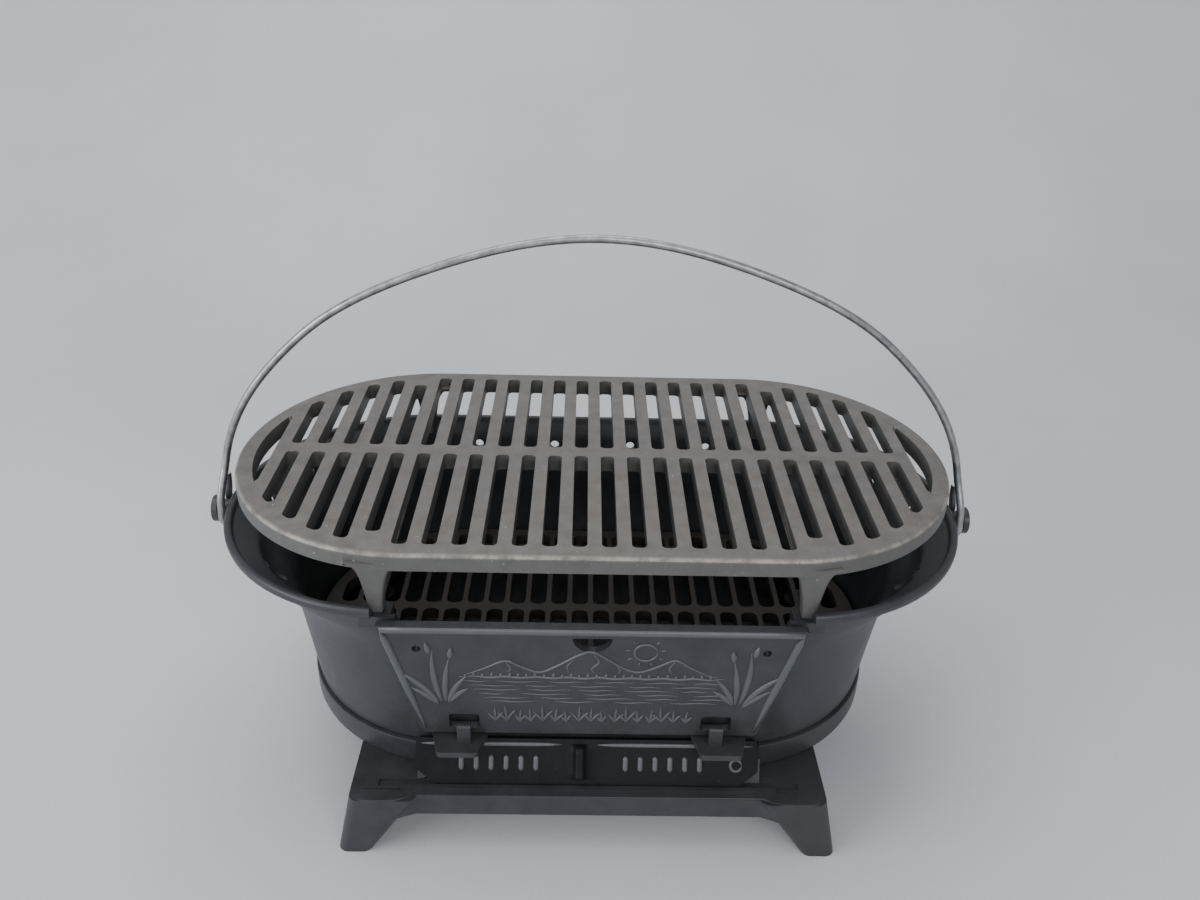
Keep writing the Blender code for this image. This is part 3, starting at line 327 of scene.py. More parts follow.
class Nodes:
    """Short ways to add and join shader nodes."""

    def __init__(self, name):
        self.material = bpy.data.materials.new(name)
        self.material.use_nodes = True
        self.tree = self.material.node_tree
        self.shader = self.tree.nodes["Principled BSDF"]

    def join(self, source, target):
        self.tree.links.new(source, target)

    def add(self, kind, **inputs):
        node = self.tree.nodes.new(kind)
        for name, value in inputs.items():
            self.give(node.inputs[name.replace("_", " ")], value)
        return node

    def give(self, socket, value):
        if isinstance(value, bpy.types.NodeSocket):
            self.join(value, socket)
        else:
            socket.default_value = value

    def noise(self, scale, detail=3.0, roughness=0.5, stretch=None):
        place = self.add("ShaderNodeTexCoord").outputs["Object"]
        if stretch:
            mapped = self.add("ShaderNodeMapping", Vector=place, Scale=stretch)
            place = mapped.outputs["Vector"]
        made = self.add("ShaderNodeTexNoise", Vector=place, Scale=scale, Detail=detail, Roughness=roughness)
        return made.outputs["Fac"]

    def ramp(self, value, low, high, start=0.0, end=1.0):
        made = self.add("ShaderNodeMapRange", Value=value)
        made.inputs["From Min"].default_value = low
        made.inputs["From Max"].default_value = high
        made.inputs["To Min"].default_value = start
        made.inputs["To Max"].default_value = end
        return made.outputs["Result"]

    def math(self, operation, a, b=0.0):
        made = self.tree.nodes.new("ShaderNodeMath")
        made.operation = operation
        self.give(made.inputs[0], a)
        self.give(made.inputs[1], b)
        return made.outputs[0]

    def mix(self, share, a, b):
        made = self.tree.nodes.new("ShaderNodeMix")
        made.data_type = "RGBA"
        self.give(made.inputs["Factor"], share)
        self.give(made.inputs["A"], a)
        self.give(made.inputs["B"], b)
        return made.outputs["Result"]

    def bump(self, height, distance, strength, before=None):
        made = self.add("ShaderNodeBump", Height=height, Distance=distance, Strength=strength)
        if before:
            self.join(before, made.inputs["Normal"])
        return made.outputs["Normal"]

    def normal_z(self):
        geometry = self.tree.nodes.new("ShaderNodeNewGeometry")
        split = self.add("ShaderNodeSeparateXYZ", Vector=geometry.outputs["Normal"])
        return split.outputs["Z"]


def seasoned_iron(name, tone_share, sheen_and_light=1.0):
    """Black oiled castings: a blue-grey shine, brown in places, with fine sand grain and dings.
    Raised lines are paler, partly from rubbing wear and partly as a painted highlight: a higher
    tone_share. Faces in shade take a lower last argument: duller, with painted shade darkening their colour."""
    n = Nodes(name)
    broad = n.noise(9.0, 4.0, 0.55)
    cloudy = n.noise(60.0, 4.0, 0.6)
    fine = n.noise(1500.0, 2.0, 0.6)
    pits = n.noise(420.0, 3.0, 0.65)
    tone = n.mix(n.ramp(cloudy, 0.35, 0.7), (0.030, 0.032, 0.035, 1), (0.044, 0.047, 0.051, 1))
    tone = n.mix(n.ramp(broad, 0.56, 0.74, 0.0, 0.45), tone, (0.050, 0.044, 0.039, 1))
    # Paler towards grey: partly rubbing wear, partly a painted highlight on raised lines.
    tone = n.mix(tone_share, tone, (0.30, 0.31, 0.32, 1))
    # Painted shade: the colour darkened towards black as the last argument drops.
    tone = n.mix(1.0 - sheen_and_light, tone, (0.004, 0.004, 0.004, 1))
    fleck = n.ramp(pits, 0.70, 0.76, 0.0, 0.5)
    tone = n.mix(fleck, tone, (0.075, 0.075, 0.076, 1))
    n.give(n.shader.inputs["Base Color"], tone)
    n.shader.inputs["Metallic"].default_value = 0.25 * sheen_and_light
    n.give(n.shader.inputs["Roughness"], n.ramp(n.math("ADD", cloudy, broad), 0.7, 1.35, 0.36, 0.52))
    n.shader.inputs["Specular IOR Level"].default_value = 0.62 * sheen_and_light
    grain = n.bump(fine, 0.10 * MM, 0.55)
    dings = n.bump(n.ramp(pits, 0.3, 0.75), 0.14 * MM, 0.45, grain)
    n.give(n.shader.inputs["Normal"], dings)
    return n.material


def bare_iron():
    """The cooking grate: grey-brown iron, darker between, its upper edges paler, partly from wear and partly a
    painted highlight.
    """
    n = Nodes("bare_iron")
    broad = n.noise(14.0, 4.0, 0.6)
    cloudy = n.noise(90.0, 4.0, 0.65)
    fine = n.noise(1300.0, 2.0, 0.65)
    specks = n.noise(520.0, 2.0, 0.5)
    up = n.normal_z()
    tone = n.mix(n.ramp(cloudy, 0.32, 0.68), (0.128, 0.116, 0.104, 1), (0.185, 0.172, 0.158, 1))
    tone = n.mix(n.ramp(broad, 0.45, 0.7, 0.0, 0.55), tone, (0.150, 0.138, 0.128, 1))
    side = n.ramp(up, 0.55, 0.1, 0.0, 0.55)
    tone = n.mix(side, tone, (0.105, 0.108, 0.108, 1))
    # Upper edge bands paler and warmer: partly wear, partly a painted highlight.
    rising = n.ramp(up, 0.12, 0.45)
    falling = n.ramp(up, 0.97, 0.78)
    edge_wear_and_highlight = n.math("MULTIPLY", rising, falling)
    patchy = n.math("MULTIPLY", edge_wear_and_highlight, n.ramp(cloudy, 0.38, 0.6, 0.15, 0.9))
    tone = n.mix(patchy, tone, (0.36, 0.325, 0.275, 1))
    tone = n.mix(n.ramp(specks, 0.71, 0.76, 0.0, 0.6), tone, (0.42, 0.40, 0.37, 1))
    tone = n.mix(n.ramp(specks, 0.30, 0.25, 0.0, 0.5), tone, (0.06, 0.055, 0.05, 1))
    n.give(n.shader.inputs["Base Color"], tone)
    n.shader.inputs["Metallic"].default_value = 0.45
    n.give(n.shader.inputs["Roughness"], n.ramp(cloudy, 0.3, 0.7, 0.46, 0.62))
    grain = n.bump(fine, 0.12 * MM, 0.6)
    n.give(n.shader.inputs["Normal"], n.bump(cloudy, 0.25 * MM, 0.25, grain))
    return n.material


def sooted_iron():
    """The charcoal grate: dull and dark, with ash-grey and brown patches on top."""
    n = Nodes("sooted_iron")
    cloudy = n.noise(70.0, 4.0, 0.6)
    fine = n.noise(1100.0, 2.0, 0.6)
    up = n.normal_z()
    tone = n.mix(n.ramp(cloudy, 0.35, 0.7), (0.030, 0.028, 0.026, 1), (0.060, 0.053, 0.045, 1))
    tone = n.mix(n.ramp(up, 0.2, 0.9, 0.0, 0.45), tone, (0.085, 0.078, 0.068, 1))
    n.give(n.shader.inputs["Base Color"], tone)
    n.shader.inputs["Metallic"].default_value = 0.25
    n.give(n.shader.inputs["Roughness"], n.ramp(cloudy, 0.3, 0.7, 0.5, 0.68))
    n.give(n.shader.inputs["Normal"], n.bump(fine, 0.12 * MM, 0.6))
    return n.material


def zinc_wire():
    n = Nodes("dull_zinc")
    cloudy = n.noise(140.0, 3.0, 0.6)
    drawn = n.noise(500.0, 2.0, 0.5, stretch=(0.25, 1.0, 0.6))
    tone = n.mix(n.ramp(cloudy, 0.35, 0.7), (0.26, 0.265, 0.27, 1), (0.46, 0.46, 0.455, 1))
    n.give(n.shader.inputs["Base Color"], tone)
    n.shader.inputs["Metallic"].default_value = 0.9
    n.give(n.shader.inputs["Roughness"], n.ramp(drawn, 0.3, 0.7, 0.30, 0.46))
    n.give(n.shader.inputs["Normal"], n.bump(drawn, 0.05 * MM, 0.4))
    return n.material


def turned_steel():
    n = Nodes("turned_steel")
    cloudy = n.noise(260.0, 3.0, 0.6)
    tone = n.mix(n.ramp(cloudy, 0.35, 0.7), (0.26, 0.26, 0.265, 1), (0.40, 0.40, 0.405, 1))
    n.give(n.shader.inputs["Base Color"], tone)
    n.shader.inputs["Metallic"].default_value = 0.95
    n.give(n.shader.inputs["Roughness"], n.ramp(cloudy, 0.3, 0.7, 0.30, 0.44))
    return n.material


def backdrop_sheet():
    n = Nodes("pale_sheet")
    cloudy = n.noise(3.0, 3.0, 0.5)
    fine = n.noise(700.0, 2.0, 0.6)
    tone = n.mix(n.ramp(cloudy, 0.3, 0.7), (0.52, 0.535, 0.55, 1), (0.565, 0.575, 0.585, 1))
    tone = n.mix(n.ramp(fine, 0.55, 0.75, 0.0, 0.5), tone, (0.68, 0.685, 0.695, 1))
    n.give(n.shader.inputs["Base Color"], tone)
    n.shader.inputs["Roughness"].default_value = 0.75
    n.give(n.shader.inputs["Normal"], n.bump(fine, 0.2 * MM, 0.4))
    return n.material


BLACK = seasoned_iron("seasoned_iron", 0.0)
# Raised relief: paler, partly rubbing wear and partly a painted highlight.
RUBBED_AND_HIGHLIT = seasoned_iron("rubbed_highlit_iron", 0.22)
# The draft door: duller, and darkened towards black as painted shade.
DULL_PAINTED_SHADE = seasoned_iron("dull_painted_shade_iron", 0.0, 0.22)
GREY = bare_iron()
SOOT = sooted_iron()
ZINC = zinc_wire()
STEEL = turned_steel()


def bowl_rings():
    rings = [ring(stadium(*FOOT), BOWL_SEAT + GAP), ring(stadium(*FOOT), COLLAR_TOP + GAP)]
    for length, depth, height in OUTSIDE + LIP:
        rings.append(ring(stadium(length, depth), height))
    for length, depth, height in reversed(OUTSIDE[9:18]):
        rings.append(ring(stadium(length - WALL, depth - WALL), height + 0.4 * MM))
    length, depth, top = LEDGE
    rings.append(ring(stadium(length, depth), top + 0.8 * MM))
    rings.append(ring(stadium(length - 0.8 * MM, depth - 0.8 * MM), top))
    for drop in (0.0, 4.0 * MM):
        rings.append(ring(stadium(length - LEDGE_WIDTH, depth - LEDGE_WIDTH), top - drop))
    rings.append(ring(stadium(180.8 * MM, 95.2 * MM), 72.2 * MM))
    rings.append(ring(stadium(FOOT[0] - WALL, FOOT[1] - WALL), COLLAR_TOP))
    rings.append(ring(stadium(FOOT[0] - WALL, FOOT[1] - WALL), BOWL_SEAT + GAP))
    return rings


def tongue_parts(side):
    """The tongue under the door's bottom bar, and apart from it the nub and the guide."""
    middle = side * TONGUE_X
    outline = rounded(
        [
            (middle - 12 * MM, -120.8 * MM), (middle + 12 * MM, -120.8 * MM),
            (middle + 18 * MM, -98 * MM), (middle - 18 * MM, -98 * MM),
        ],
        3.0 * MM, 6,
    )
    flat = plate(f"tongue_{side}", [outline], 4 * MM, TOOLS, Matrix.Translation((0, 0, TONGUE_TOP - 2 * MM)))
    section = rounded(
        [
            (-113.5 * MM, TONGUE_TOP - 2 * MM), (-108.6 * MM, TONGUE_TOP - 2 * MM),
            (-108.9 * MM, 88 * MM), (-113.1 * MM, 88 * MM),
        ],
        1.7 * MM, 5,
    )
    nub = prism_along_x(f"nub_{side}", section, 4 * MM, TOOLS, side * NUB_X)
    guide = box(
        f"guide_{side}", (middle - 10 * MM, -109.4 * MM, 69.2 * MM),
        (middle + 10 * MM, -106.4 * MM, TONGUE_TOP - 3 * MM), TOOLS,
    )
    return flat, nub, guide


def lug(index, x, y):
    inward = Vector((x - math.copysign(SCREW_CENTRE_X, x), y, 0)).normalized()
    sideways = Vector((-inward.y, inward.x, 0))
    centre = Vector((x, y, 0))
    corners = ((-9, 4.5), (-4.5, 9), (13.5, 9), (13.5, -9), (-4.5, -9), (-9, -4.5))
    points = [centre + inward * a * MM + sideways * b * MM for a, b in corners]
    rings = [[Vector((p.x, p.y, z)) for p in points] for z in (BOWL_SEAT + GAP, 66 * MM)]
    return loft(f"lug_{index}", rings, TOOLS)


def fire_bowl():
    bowl = loft("bowl_casting", bowl_rings(), SHOWN, closed=True)
    flats, uprights, others = [], [], []
    for side in (-1, 1):
        flat, nub, guide = tongue_parts(side)
        flats.append(flat)
        uprights += [nub, guide]
        ear = ((214, NECK_RADIUS + MM, 233, NECK_RADIUS), (230, NECK_RADIUS, 241, NECK_RADIUS))
        for i, (start, wide, end, narrow) in enumerate(ear):
            neck = rod(
                f"neck_{side}_{i}", (side * start * MM, 0, EAR_HEIGHT), (side * end * MM, 0, EAR_HEIGHT),
                wide, TOOLS, 40, narrow,
            )
            (flats if i == 0 else uprights).append(neck)
        head = rod(
            f"head_{side}", (side * HEAD_START, 0, EAR_HEIGHT), (side * HEAD_END, 0, EAR_HEIGHT),
            HEAD_RADIUS, TOOLS, 40,
        )
        others.append(head)
        for front in (-1, 1):
            xs = sorted((side * (LEG_CENTRE - 8 * MM), side * (LEG_CENTRE + 10 * MM)))
            ys = sorted((front * 99 * MM, front * 109 * MM))
            flats.append(box(
                f"seat_{side}_{front}", (xs[0], ys[0], SEAT_TOP - 10 * MM), (xs[1], ys[1], SEAT_TOP), TOOLS,
            ))
    flats += [lug(i, x, y) for i, (x, y) in enumerate(screw_places())]
    boolean(bowl, "UNION", joined("bowl_flats", flats, TOOLS))
    boolean(bowl, "UNION", joined("bowl_uprights", uprights, TOOLS))
    boolean(bowl, "UNION", joined("bowl_heads", others, TOOLS))
    slope = 17 * MM / (SEAT_TOP - 88 * MM)
    reach = 109 * MM + slope * (186 * MM - SEAT_TOP)
    outline = [(-92 * MM, 88 * MM), (92 * MM, 88 * MM), (reach, 186 * MM), (-reach, 186 * MM)]
    rings = [[Vector((x, y, z)) for x, z in outline] for y in (-130 * MM, -84 * MM)]
    boolean(bowl, "DIFFERENCE", loft("opening_cut", rings, TOOLS))
    boolean(bowl, "DIFFERENCE", box(
        "lip_cut", (-121.5 * MM, -130 * MM, SEAT_TOP), (121.5 * MM, -96 * MM, 186 * MM), TOOLS,
    ))
    holes = []
    for side in (-1, 1):
        for height, radius, centre, angles in VENTS:
            for degrees in angles:
                angle = math.radians(degrees)
                out = Vector((side * math.cos(angle), math.sin(angle), 0))
                start = Vector((side * centre + out.x * radius, out.y * radius, height)) - out * 14 * MM
                holes.append(rod(f"vent_{height}_{side}_{degrees}", start, start + out * 34 * MM,
                                 VENT_RADIUS, TOOLS, 20))
        for place in BACK_VENTS:
            start = Vector((side * place, 96 * MM, BACK_VENT_HEIGHT))
            holes.append(rod(f"vent_back_{side}_{place}", start, start + Vector((0, 34 * MM, 0)),
                             VENT_RADIUS, TOOLS, 20))
    for i, (x, y) in enumerate(screw_places()):
        holes.append(rod(f"bowl_hole_{i}", (x, y, 55 * MM), (x, y, 80 * MM), 3.4 * MM, TOOLS, 20))
    boolean(bowl, "DIFFERENCE", joined("bowl_holes", holes, TOOLS))
    soften(bowl, 0.7 * MM, 2)
    dress(bowl, "body", BLACK, ["fire_bowl"])


def platform_outline(inset):
    x = PLATFORM[0] - inset
    y = PLATFORM[1] - inset
    near, far = 104 * MM, 116 * MM
    back = y - 4.5 * MM
    half = [(-far, -y), (-near, -back), (near, -back), (far, -y)]
    corners = rounded([(-x, -y), (x, -y), (x, y), (-x, y)], 9 * MM, 8)
    quarter = len(corners) // 4
    other = [(-px, -py) for px, py in half]
    return corners[:quarter] + half + corners[quarter:3 * quarter] + other + corners[3 * quarter:]


def inner_outline(inset):
    x = PLATFORM[0] - inset
    y = PLATFORM[1] - inset - 4.5 * MM
    return rounded([(-x, -y), (x, -y), (x, y), (-x, y)], 4 * MM, 3)


def leg_rings(inset, side, front, heights, hollow):
    rings = []
    for height in heights:
        part = height / FLOOR_TOP
        outer_x = FOOT_OUTER + (PLATFORM[0] - FOOT_OUTER) * part - inset
        inner_x = FOOT_INNER + (102 * MM - FOOT_INNER) * part
        inner_y = 106 * MM + (96 * MM - 106 * MM) * part
        outer_y = PLATFORM[1] - inset
        if hollow:
            inner_x -= 40 * MM
            inner_y -= 40 * MM
        corners = [(inner_x, inner_y), (outer_x, inner_y), (outer_x, outer_y), (inner_x, outer_y)]
        radius = 3 * MM if hollow else 6.0 * MM
        points = [(side * x, front * y) for x, y in rounded(corners, radius, 6)]
        rings.append(ring(points, height))
    return rings


def draft_point(along, inward):
    y = DRAFT_FOOT[0] + along * math.sin(DRAFT_TILT) + inward * math.cos(DRAFT_TILT)
    z = DRAFT_FOOT[1] + along * math.cos(DRAFT_TILT) - inward * math.sin(DRAFT_TILT)
    return y, z


def base():
    inside = (FOOT[0] + 0.8 * MM, FOOT[1] + 0.8 * MM)
    profile = (
        (COLLAR[0] - 7 * MM, COLLAR[1] - 7 * MM, FLOOR_BOTTOM),
        (COLLAR[0] - 2.4 * MM, COLLAR[1] - 2.4 * MM, 43.4 * MM),
        (COLLAR[0] - 0.8 * MM, COLLAR[1] - 0.8 * MM, 45.6 * MM),
        (COLLAR[0], COLLAR[1], 48.0 * MM),
        (COLLAR[0], COLLAR[1], COLLAR_TOP - 1.4 * MM),
        (COLLAR[0] - 0.4 * MM, COLLAR[1] - 0.4 * MM, COLLAR_TOP - 0.4 * MM),
        (COLLAR[0] - 1.4 * MM, COLLAR[1] - 1.4 * MM, COLLAR_TOP),
        (inside[0], inside[1], COLLAR_TOP),
        (inside[0], inside[1], BOWL_SEAT),
        (inside[0] - 5 * MM, inside[1] - 5 * MM, BOWL_SEAT),
        (inside[0] - 9 * MM, inside[1] - 8 * MM, FLOOR_TOP),
    )
    pan = loft("base_casting", [ring(stadium(a, b), z) for a, b, z in profile], SHOWN)
    steps = [FLOOR_TOP * i / 8 - MM * i / 8 for i in range(9)]
    blocks, hollows = [], []
    for side in (-1, 1):
        for front in (-1, 1):
            name = f"{side}_{front}"
            blocks.append(loft(f"leg_{name}", leg_rings(0.0, side, front, steps, False), TOOLS))
            hollows.append(loft(
                f"hollow_{name}", leg_rings(5.5 * MM, side, front, (-2 * MM, FLOOR_BOTTOM - MM), True), TOOLS,
            ))
    boolean(pan, "UNION", joined("base_legs", blocks, TOOLS))
    middle = Matrix.Translation((0, 0, (FLOOR_TOP + FLOOR_BOTTOM) / 2))
    top = plate("platform", [platform_outline(0)], FLOOR_TOP - FLOOR_BOTTOM, TOOLS, middle)
    height = FLOOR_TOP - 1 * MM - 29 * MM
    hung = Matrix.Translation((0, 0, 29 * MM + height / 2))
    apron = plate("apron", [platform_outline(0.05 * MM), inner_outline(4 * MM)], height, TOOLS, hung)
    boolean(pan, "UNION", top)
    boolean(pan, "UNION", apron)
    behind = DRAFT_THICKNESS + 0.5 * MM
    seat_along = (BOWL_SEAT - DRAFT_FOOT[1] + behind * math.sin(DRAFT_TILT)) / math.cos(DRAFT_TILT)
    foot_along = (FLOOR_BOTTOM - DRAFT_FOOT[1] + behind * math.sin(DRAFT_TILT)) / math.cos(DRAFT_TILT)
    section = [
        draft_point(foot_along, behind), draft_point(seat_along, behind),
        (-96 * MM, BOWL_SEAT), (-103 * MM, FLOOR_BOTTOM),
    ]
    added = [prism_along_x("front_wall", section, 104 * MM, TOOLS)]
    added.append(box(
        "ridge", (-113 * MM, -121.6 * MM, FLOOR_BOTTOM), (113 * MM, -118.4 * MM, FLOOR_TOP + 1.6 * MM), TOOLS,
    ))
    added += [
        rod(f"boss_{i}", (x, y, FLOOR_BOTTOM), (x, y, BOWL_SEAT), 8 * MM, TOOLS, 28)
        for i, (x, y) in enumerate(screw_places())
    ]
    boolean(pan, "UNION", joined("base_added", added, TOOLS))
    boolean(pan, "DIFFERENCE", joined("base_hollows", hollows, TOOLS))
    cuts = [
        box(f"draft_{side}", (min(side * 58, side * 92) * MM, -130 * MM, 47 * MM),
            (max(side * 58, side * 92) * MM, -82 * MM, 55.5 * MM), TOOLS)
        for side in (-1, 1)
    ]
    cuts.append(box("collar_gap", (-104 * MM, -120 * MM, BOWL_SEAT), (104 * MM, -92 * MM, 80 * MM), TOOLS))
    boolean(pan, "DIFFERENCE", joined("base_cuts", cuts, TOOLS))
    groove_floor = DRAFT_FOOT[1] - DRAFT_THICKNESS * math.sin(DRAFT_TILT) - GAP
    grooves = [box(
        "groove", (-127 * MM, -118.4 * MM, groove_floor), (127 * MM, -113.4 * MM, FLOOR_TOP + 4 * MM), TOOLS,
    )]
    grooves += [
        rod(f"base_hole_{i}", (x, y, 30 * MM), (x, y, 75 * MM), 3.4 * MM, TOOLS, 20)
        for i, (x, y) in enumerate(screw_places())
    ]
    boolean(pan, "DIFFERENCE", joined("base_grooves", grooves, TOOLS))
    soften(pan, 1.1 * MM, 3, weld=False)
    dress(pan, "body", BLACK, ["base"])


def slots_of(half_length, half_depth, rim, rib, pitch, width, radius, short_column=None):
    """The slots of an oval grate, in mirrored columns on each side of the middle rib."""
    centre = half_length - half_depth
    reach = half_depth - rim
    slots = []
    for column in range(12):
        x = pitch * (column + 0.5)
        ends = []
        for edge in (x - width / 2, x + width / 2):
            past = max(0.0, edge - centre)
            ends.append(math.sqrt(reach ** 2 - past ** 2))
        if column == short_column:
            ends = [92 * MM, 92 * MM]
        for side in (-1, 1):
            for row in (-1, 1):
                corners = [
                    (x - width / 2, rib / 2), (x + width / 2, rib / 2),
                    (x + width / 2, ends[1]), (x - width / 2, ends[0]),
                ]
                slots.append([(side * px, row * py) for px, py in rounded(corners, radius, 5)])
    return slots


def grate_leg(side, front):
    """A leg of the cooking grate, flaring smoothly into the rim."""
    top, foot = GRATE_TOP - GRATE_THICKNESS, SEAT_TOP + GAP
    rings = []
    for i in range(11):
        part = i / 10
        flare = part ** 2.2
        height = foot + part * (top + 4 * MM - foot)
        middle = LEG_CENTRE - 1.2 * MM * flare
        width = 7.4 * MM + 8 * MM * part + 6 * MM * flare ** 1.6 + 9 * MM * part ** 14
        face = 108.6 * MM + (113.7 - 108.6) * MM * part ** 0.9
        depth = 8.5 * MM + 2 * MM * part + 3.5 * MM * flare
        corners = [
            (middle - width / 2, face - depth), (middle + width / 2, face - depth),
            (middle + width / 2, face), (middle - width / 2, face),
        ]
        points = [(side * x, front * y) for x, y in rounded(corners, 1.6 * MM, 3)]
        rings.append(ring(points, height))
    return loft(f"grate_leg_{side}_{front}", rings, TOOLS)


def rim_envelope(half_length, half_depth):
    """The space inside the grate's outline, its upper edge much softer than the slots' edges."""
    radius, steps, over = 2.6 * MM, 5, 0.02 * MM
    turn = GRATE_TOP - radius + over
    rings = [ring(stadium(half_length, half_depth, 60), GRATE_TOP - GRATE_THICKNESS - 2 * MM)]
    for step in range(steps + 1):
        angle = math.pi / 2 * step / steps
        inset = radius * (1 - math.cos(angle))
        outline = stadium(half_length - inset, half_depth - inset, 60)
        rings.append(ring(outline, turn + radius * math.sin(angle)))
    return loft("rim_envelope", rings, TOOLS)


def cooking_grate():
    slots = slots_of(
        219.1 * MM, 114.3 * MM, 10.3 * MM, 10.6 * MM, 16.2 * MM, 8.4 * MM, 2.8 * MM, 7,
    )
    centre, reach = 104.8 * MM, 104.0 * MM
    flat_x = 16.2 * MM * 12 + 3.9 * MM
    half = math.acos((flat_x + 1.5 * MM - centre) / reach)
    arc = [-half + 2 * half * i / 28 for i in range(29)]
    points = [(centre + reach * math.cos(a), reach * math.sin(a)) for a in arc]
    points += [(flat_x, points[-1][1] - 3 * MM), (flat_x, points[0][1] + 3 * MM)]
    ends = [[(side * x, y) for x, y in points] for side in (-1, 1)]
    middle = Matrix.Translation((0, 0, GRATE_TOP - GRATE_THICKNESS / 2))
    outline = stadium(222.1 * MM, 117.3 * MM, 60)
    grate = plate("cooking_grate_casting", [outline] + slots + ends, GRATE_THICKNESS, SHOWN, middle)
    boolean(grate, "INTERSECT", rim_envelope(219.1 * MM, 114.3 * MM))
    legs = [grate_leg(side, front) for side in (-1, 1) for front in (-1, 1)]
    boolean(grate, "UNION", joined("grate_legs", legs, TOOLS))
    soften(grate, 0.9 * MM, 3, 40, weld=False)
    dress(grate, "cooking_grate", GREY, ["cooking_grate"])


def charcoal_grate():
    slots = slots_of(181 * MM, 94.3 * MM, 7 * MM, 6.4 * MM, 14.4 * MM, 11 * MM, 4.4 * MM)
    thickness = COAL_TOP - 80.7 * MM - GAP
    middle = Matrix.Translation((0, 0, COAL_TOP - thickness / 2))
    grate = plate("charcoal_grate_casting", [stadium(181 * MM, 94.3 * MM)] + slots, thickness, SHOWN, middle)
    soften(grate, 0.6 * MM, 2, 40)
    dress(grate, "charcoal_grate", SOOT, ["charcoal_grate"])


def ridge(bm, points, width, rise, transform, pointed=True):
    """A raised line or leaf on a plate: half-round across, its width shaped along its length."""
    count = len(points)
    across = 8
    loops = []
    for i, (x, y) in enumerate(points):
        ahead = Vector(points[min(i + 1, count - 1)])
        behind = Vector(points[max(i - 1, 0)])
        along = (ahead - behind).normalized()
        side = Vector((-along.y, along.x))
        part = i / (count - 1)
        if pointed:
            share = max(0.06, math.sin(math.pi * part ** 0.85)) ** 0.8
        else:
            share = min(1.0, 0.25 + 6 * min(part, 1 - part))
        loop = []
        for j in range(across + 1):
            angle = math.pi * j / across
            out = Vector((x, y)) + side * (width / 2 * share * math.cos(angle))
            height = rise * share ** 0.6 * math.sin(angle) - 0.1 * MM
            loop.append(bm.verts.new(transform @ Vector((out.x, out.y, height))))
        loops.append(loop)
    for low, high in zip(loops, loops[1:]):
        for j in range(across):
            bm.faces.new((low[j], low[j + 1], high[j + 1], high[j]))
    for loop, turn in ((loops[0], 1), (loops[-1], -1)):
        bm.faces.new(loop[::turn])


def bent(start, angle, length, bend, steps=12):
    """Points along a blade that leaves its root at an angle and bends evenly, in degrees and mm."""
    x, y = start
    points = [(x * MM, y * MM)]
    heading = math.radians(angle)
    for _ in range(steps):
        x += length / steps * math.cos(heading)
        y += length / steps * math.sin(heading)
        heading += math.radians(bend) / steps
        points.append((x * MM, y * MM))
    return points


def smooth_line(corners, steps=6):
    """A line that passes through the corners with soft turns, in mm."""
    points = []
    last = len(corners) - 1
    for i in range(last):
        p0, p1 = corners[max(i - 1, 0)], corners[i]
        p2, p3 = corners[i + 1], corners[min(i + 2, last)]
        for step in range(steps):
            t = step / steps
            place = []
            for a, b, c, d in zip(p0, p1, p2, p3):
                place.append(0.5 * (2 * b + (c - a) * t + (2 * a - 5 * b + 4 * c - d) * t * t
                                    + (3 * b - a - 3 * c + d) * t ** 3))
            points.append((place[0] * MM, place[1] * MM))
    points.append((corners[-1][0] * MM, corners[-1][1] * MM))
    return points


def door_half_width(height):
    foot = -DOOR_THICKNESS / 2
    part = (height - foot) / (DOOR_TOP - foot)
    return 99.5 * MM + part * 20.5 * MM


def door_trapezoid(inset, radius):
    low, high = -DOOR_THICKNESS / 2 + inset, DOOR_TOP - inset
    low_half, high_half = door_half_width(low) - inset, door_half_width(high) - inset
    return rounded([(-low_half, low), (low_half, low), (high_half, high), (-high_half, high)], radius, 5)


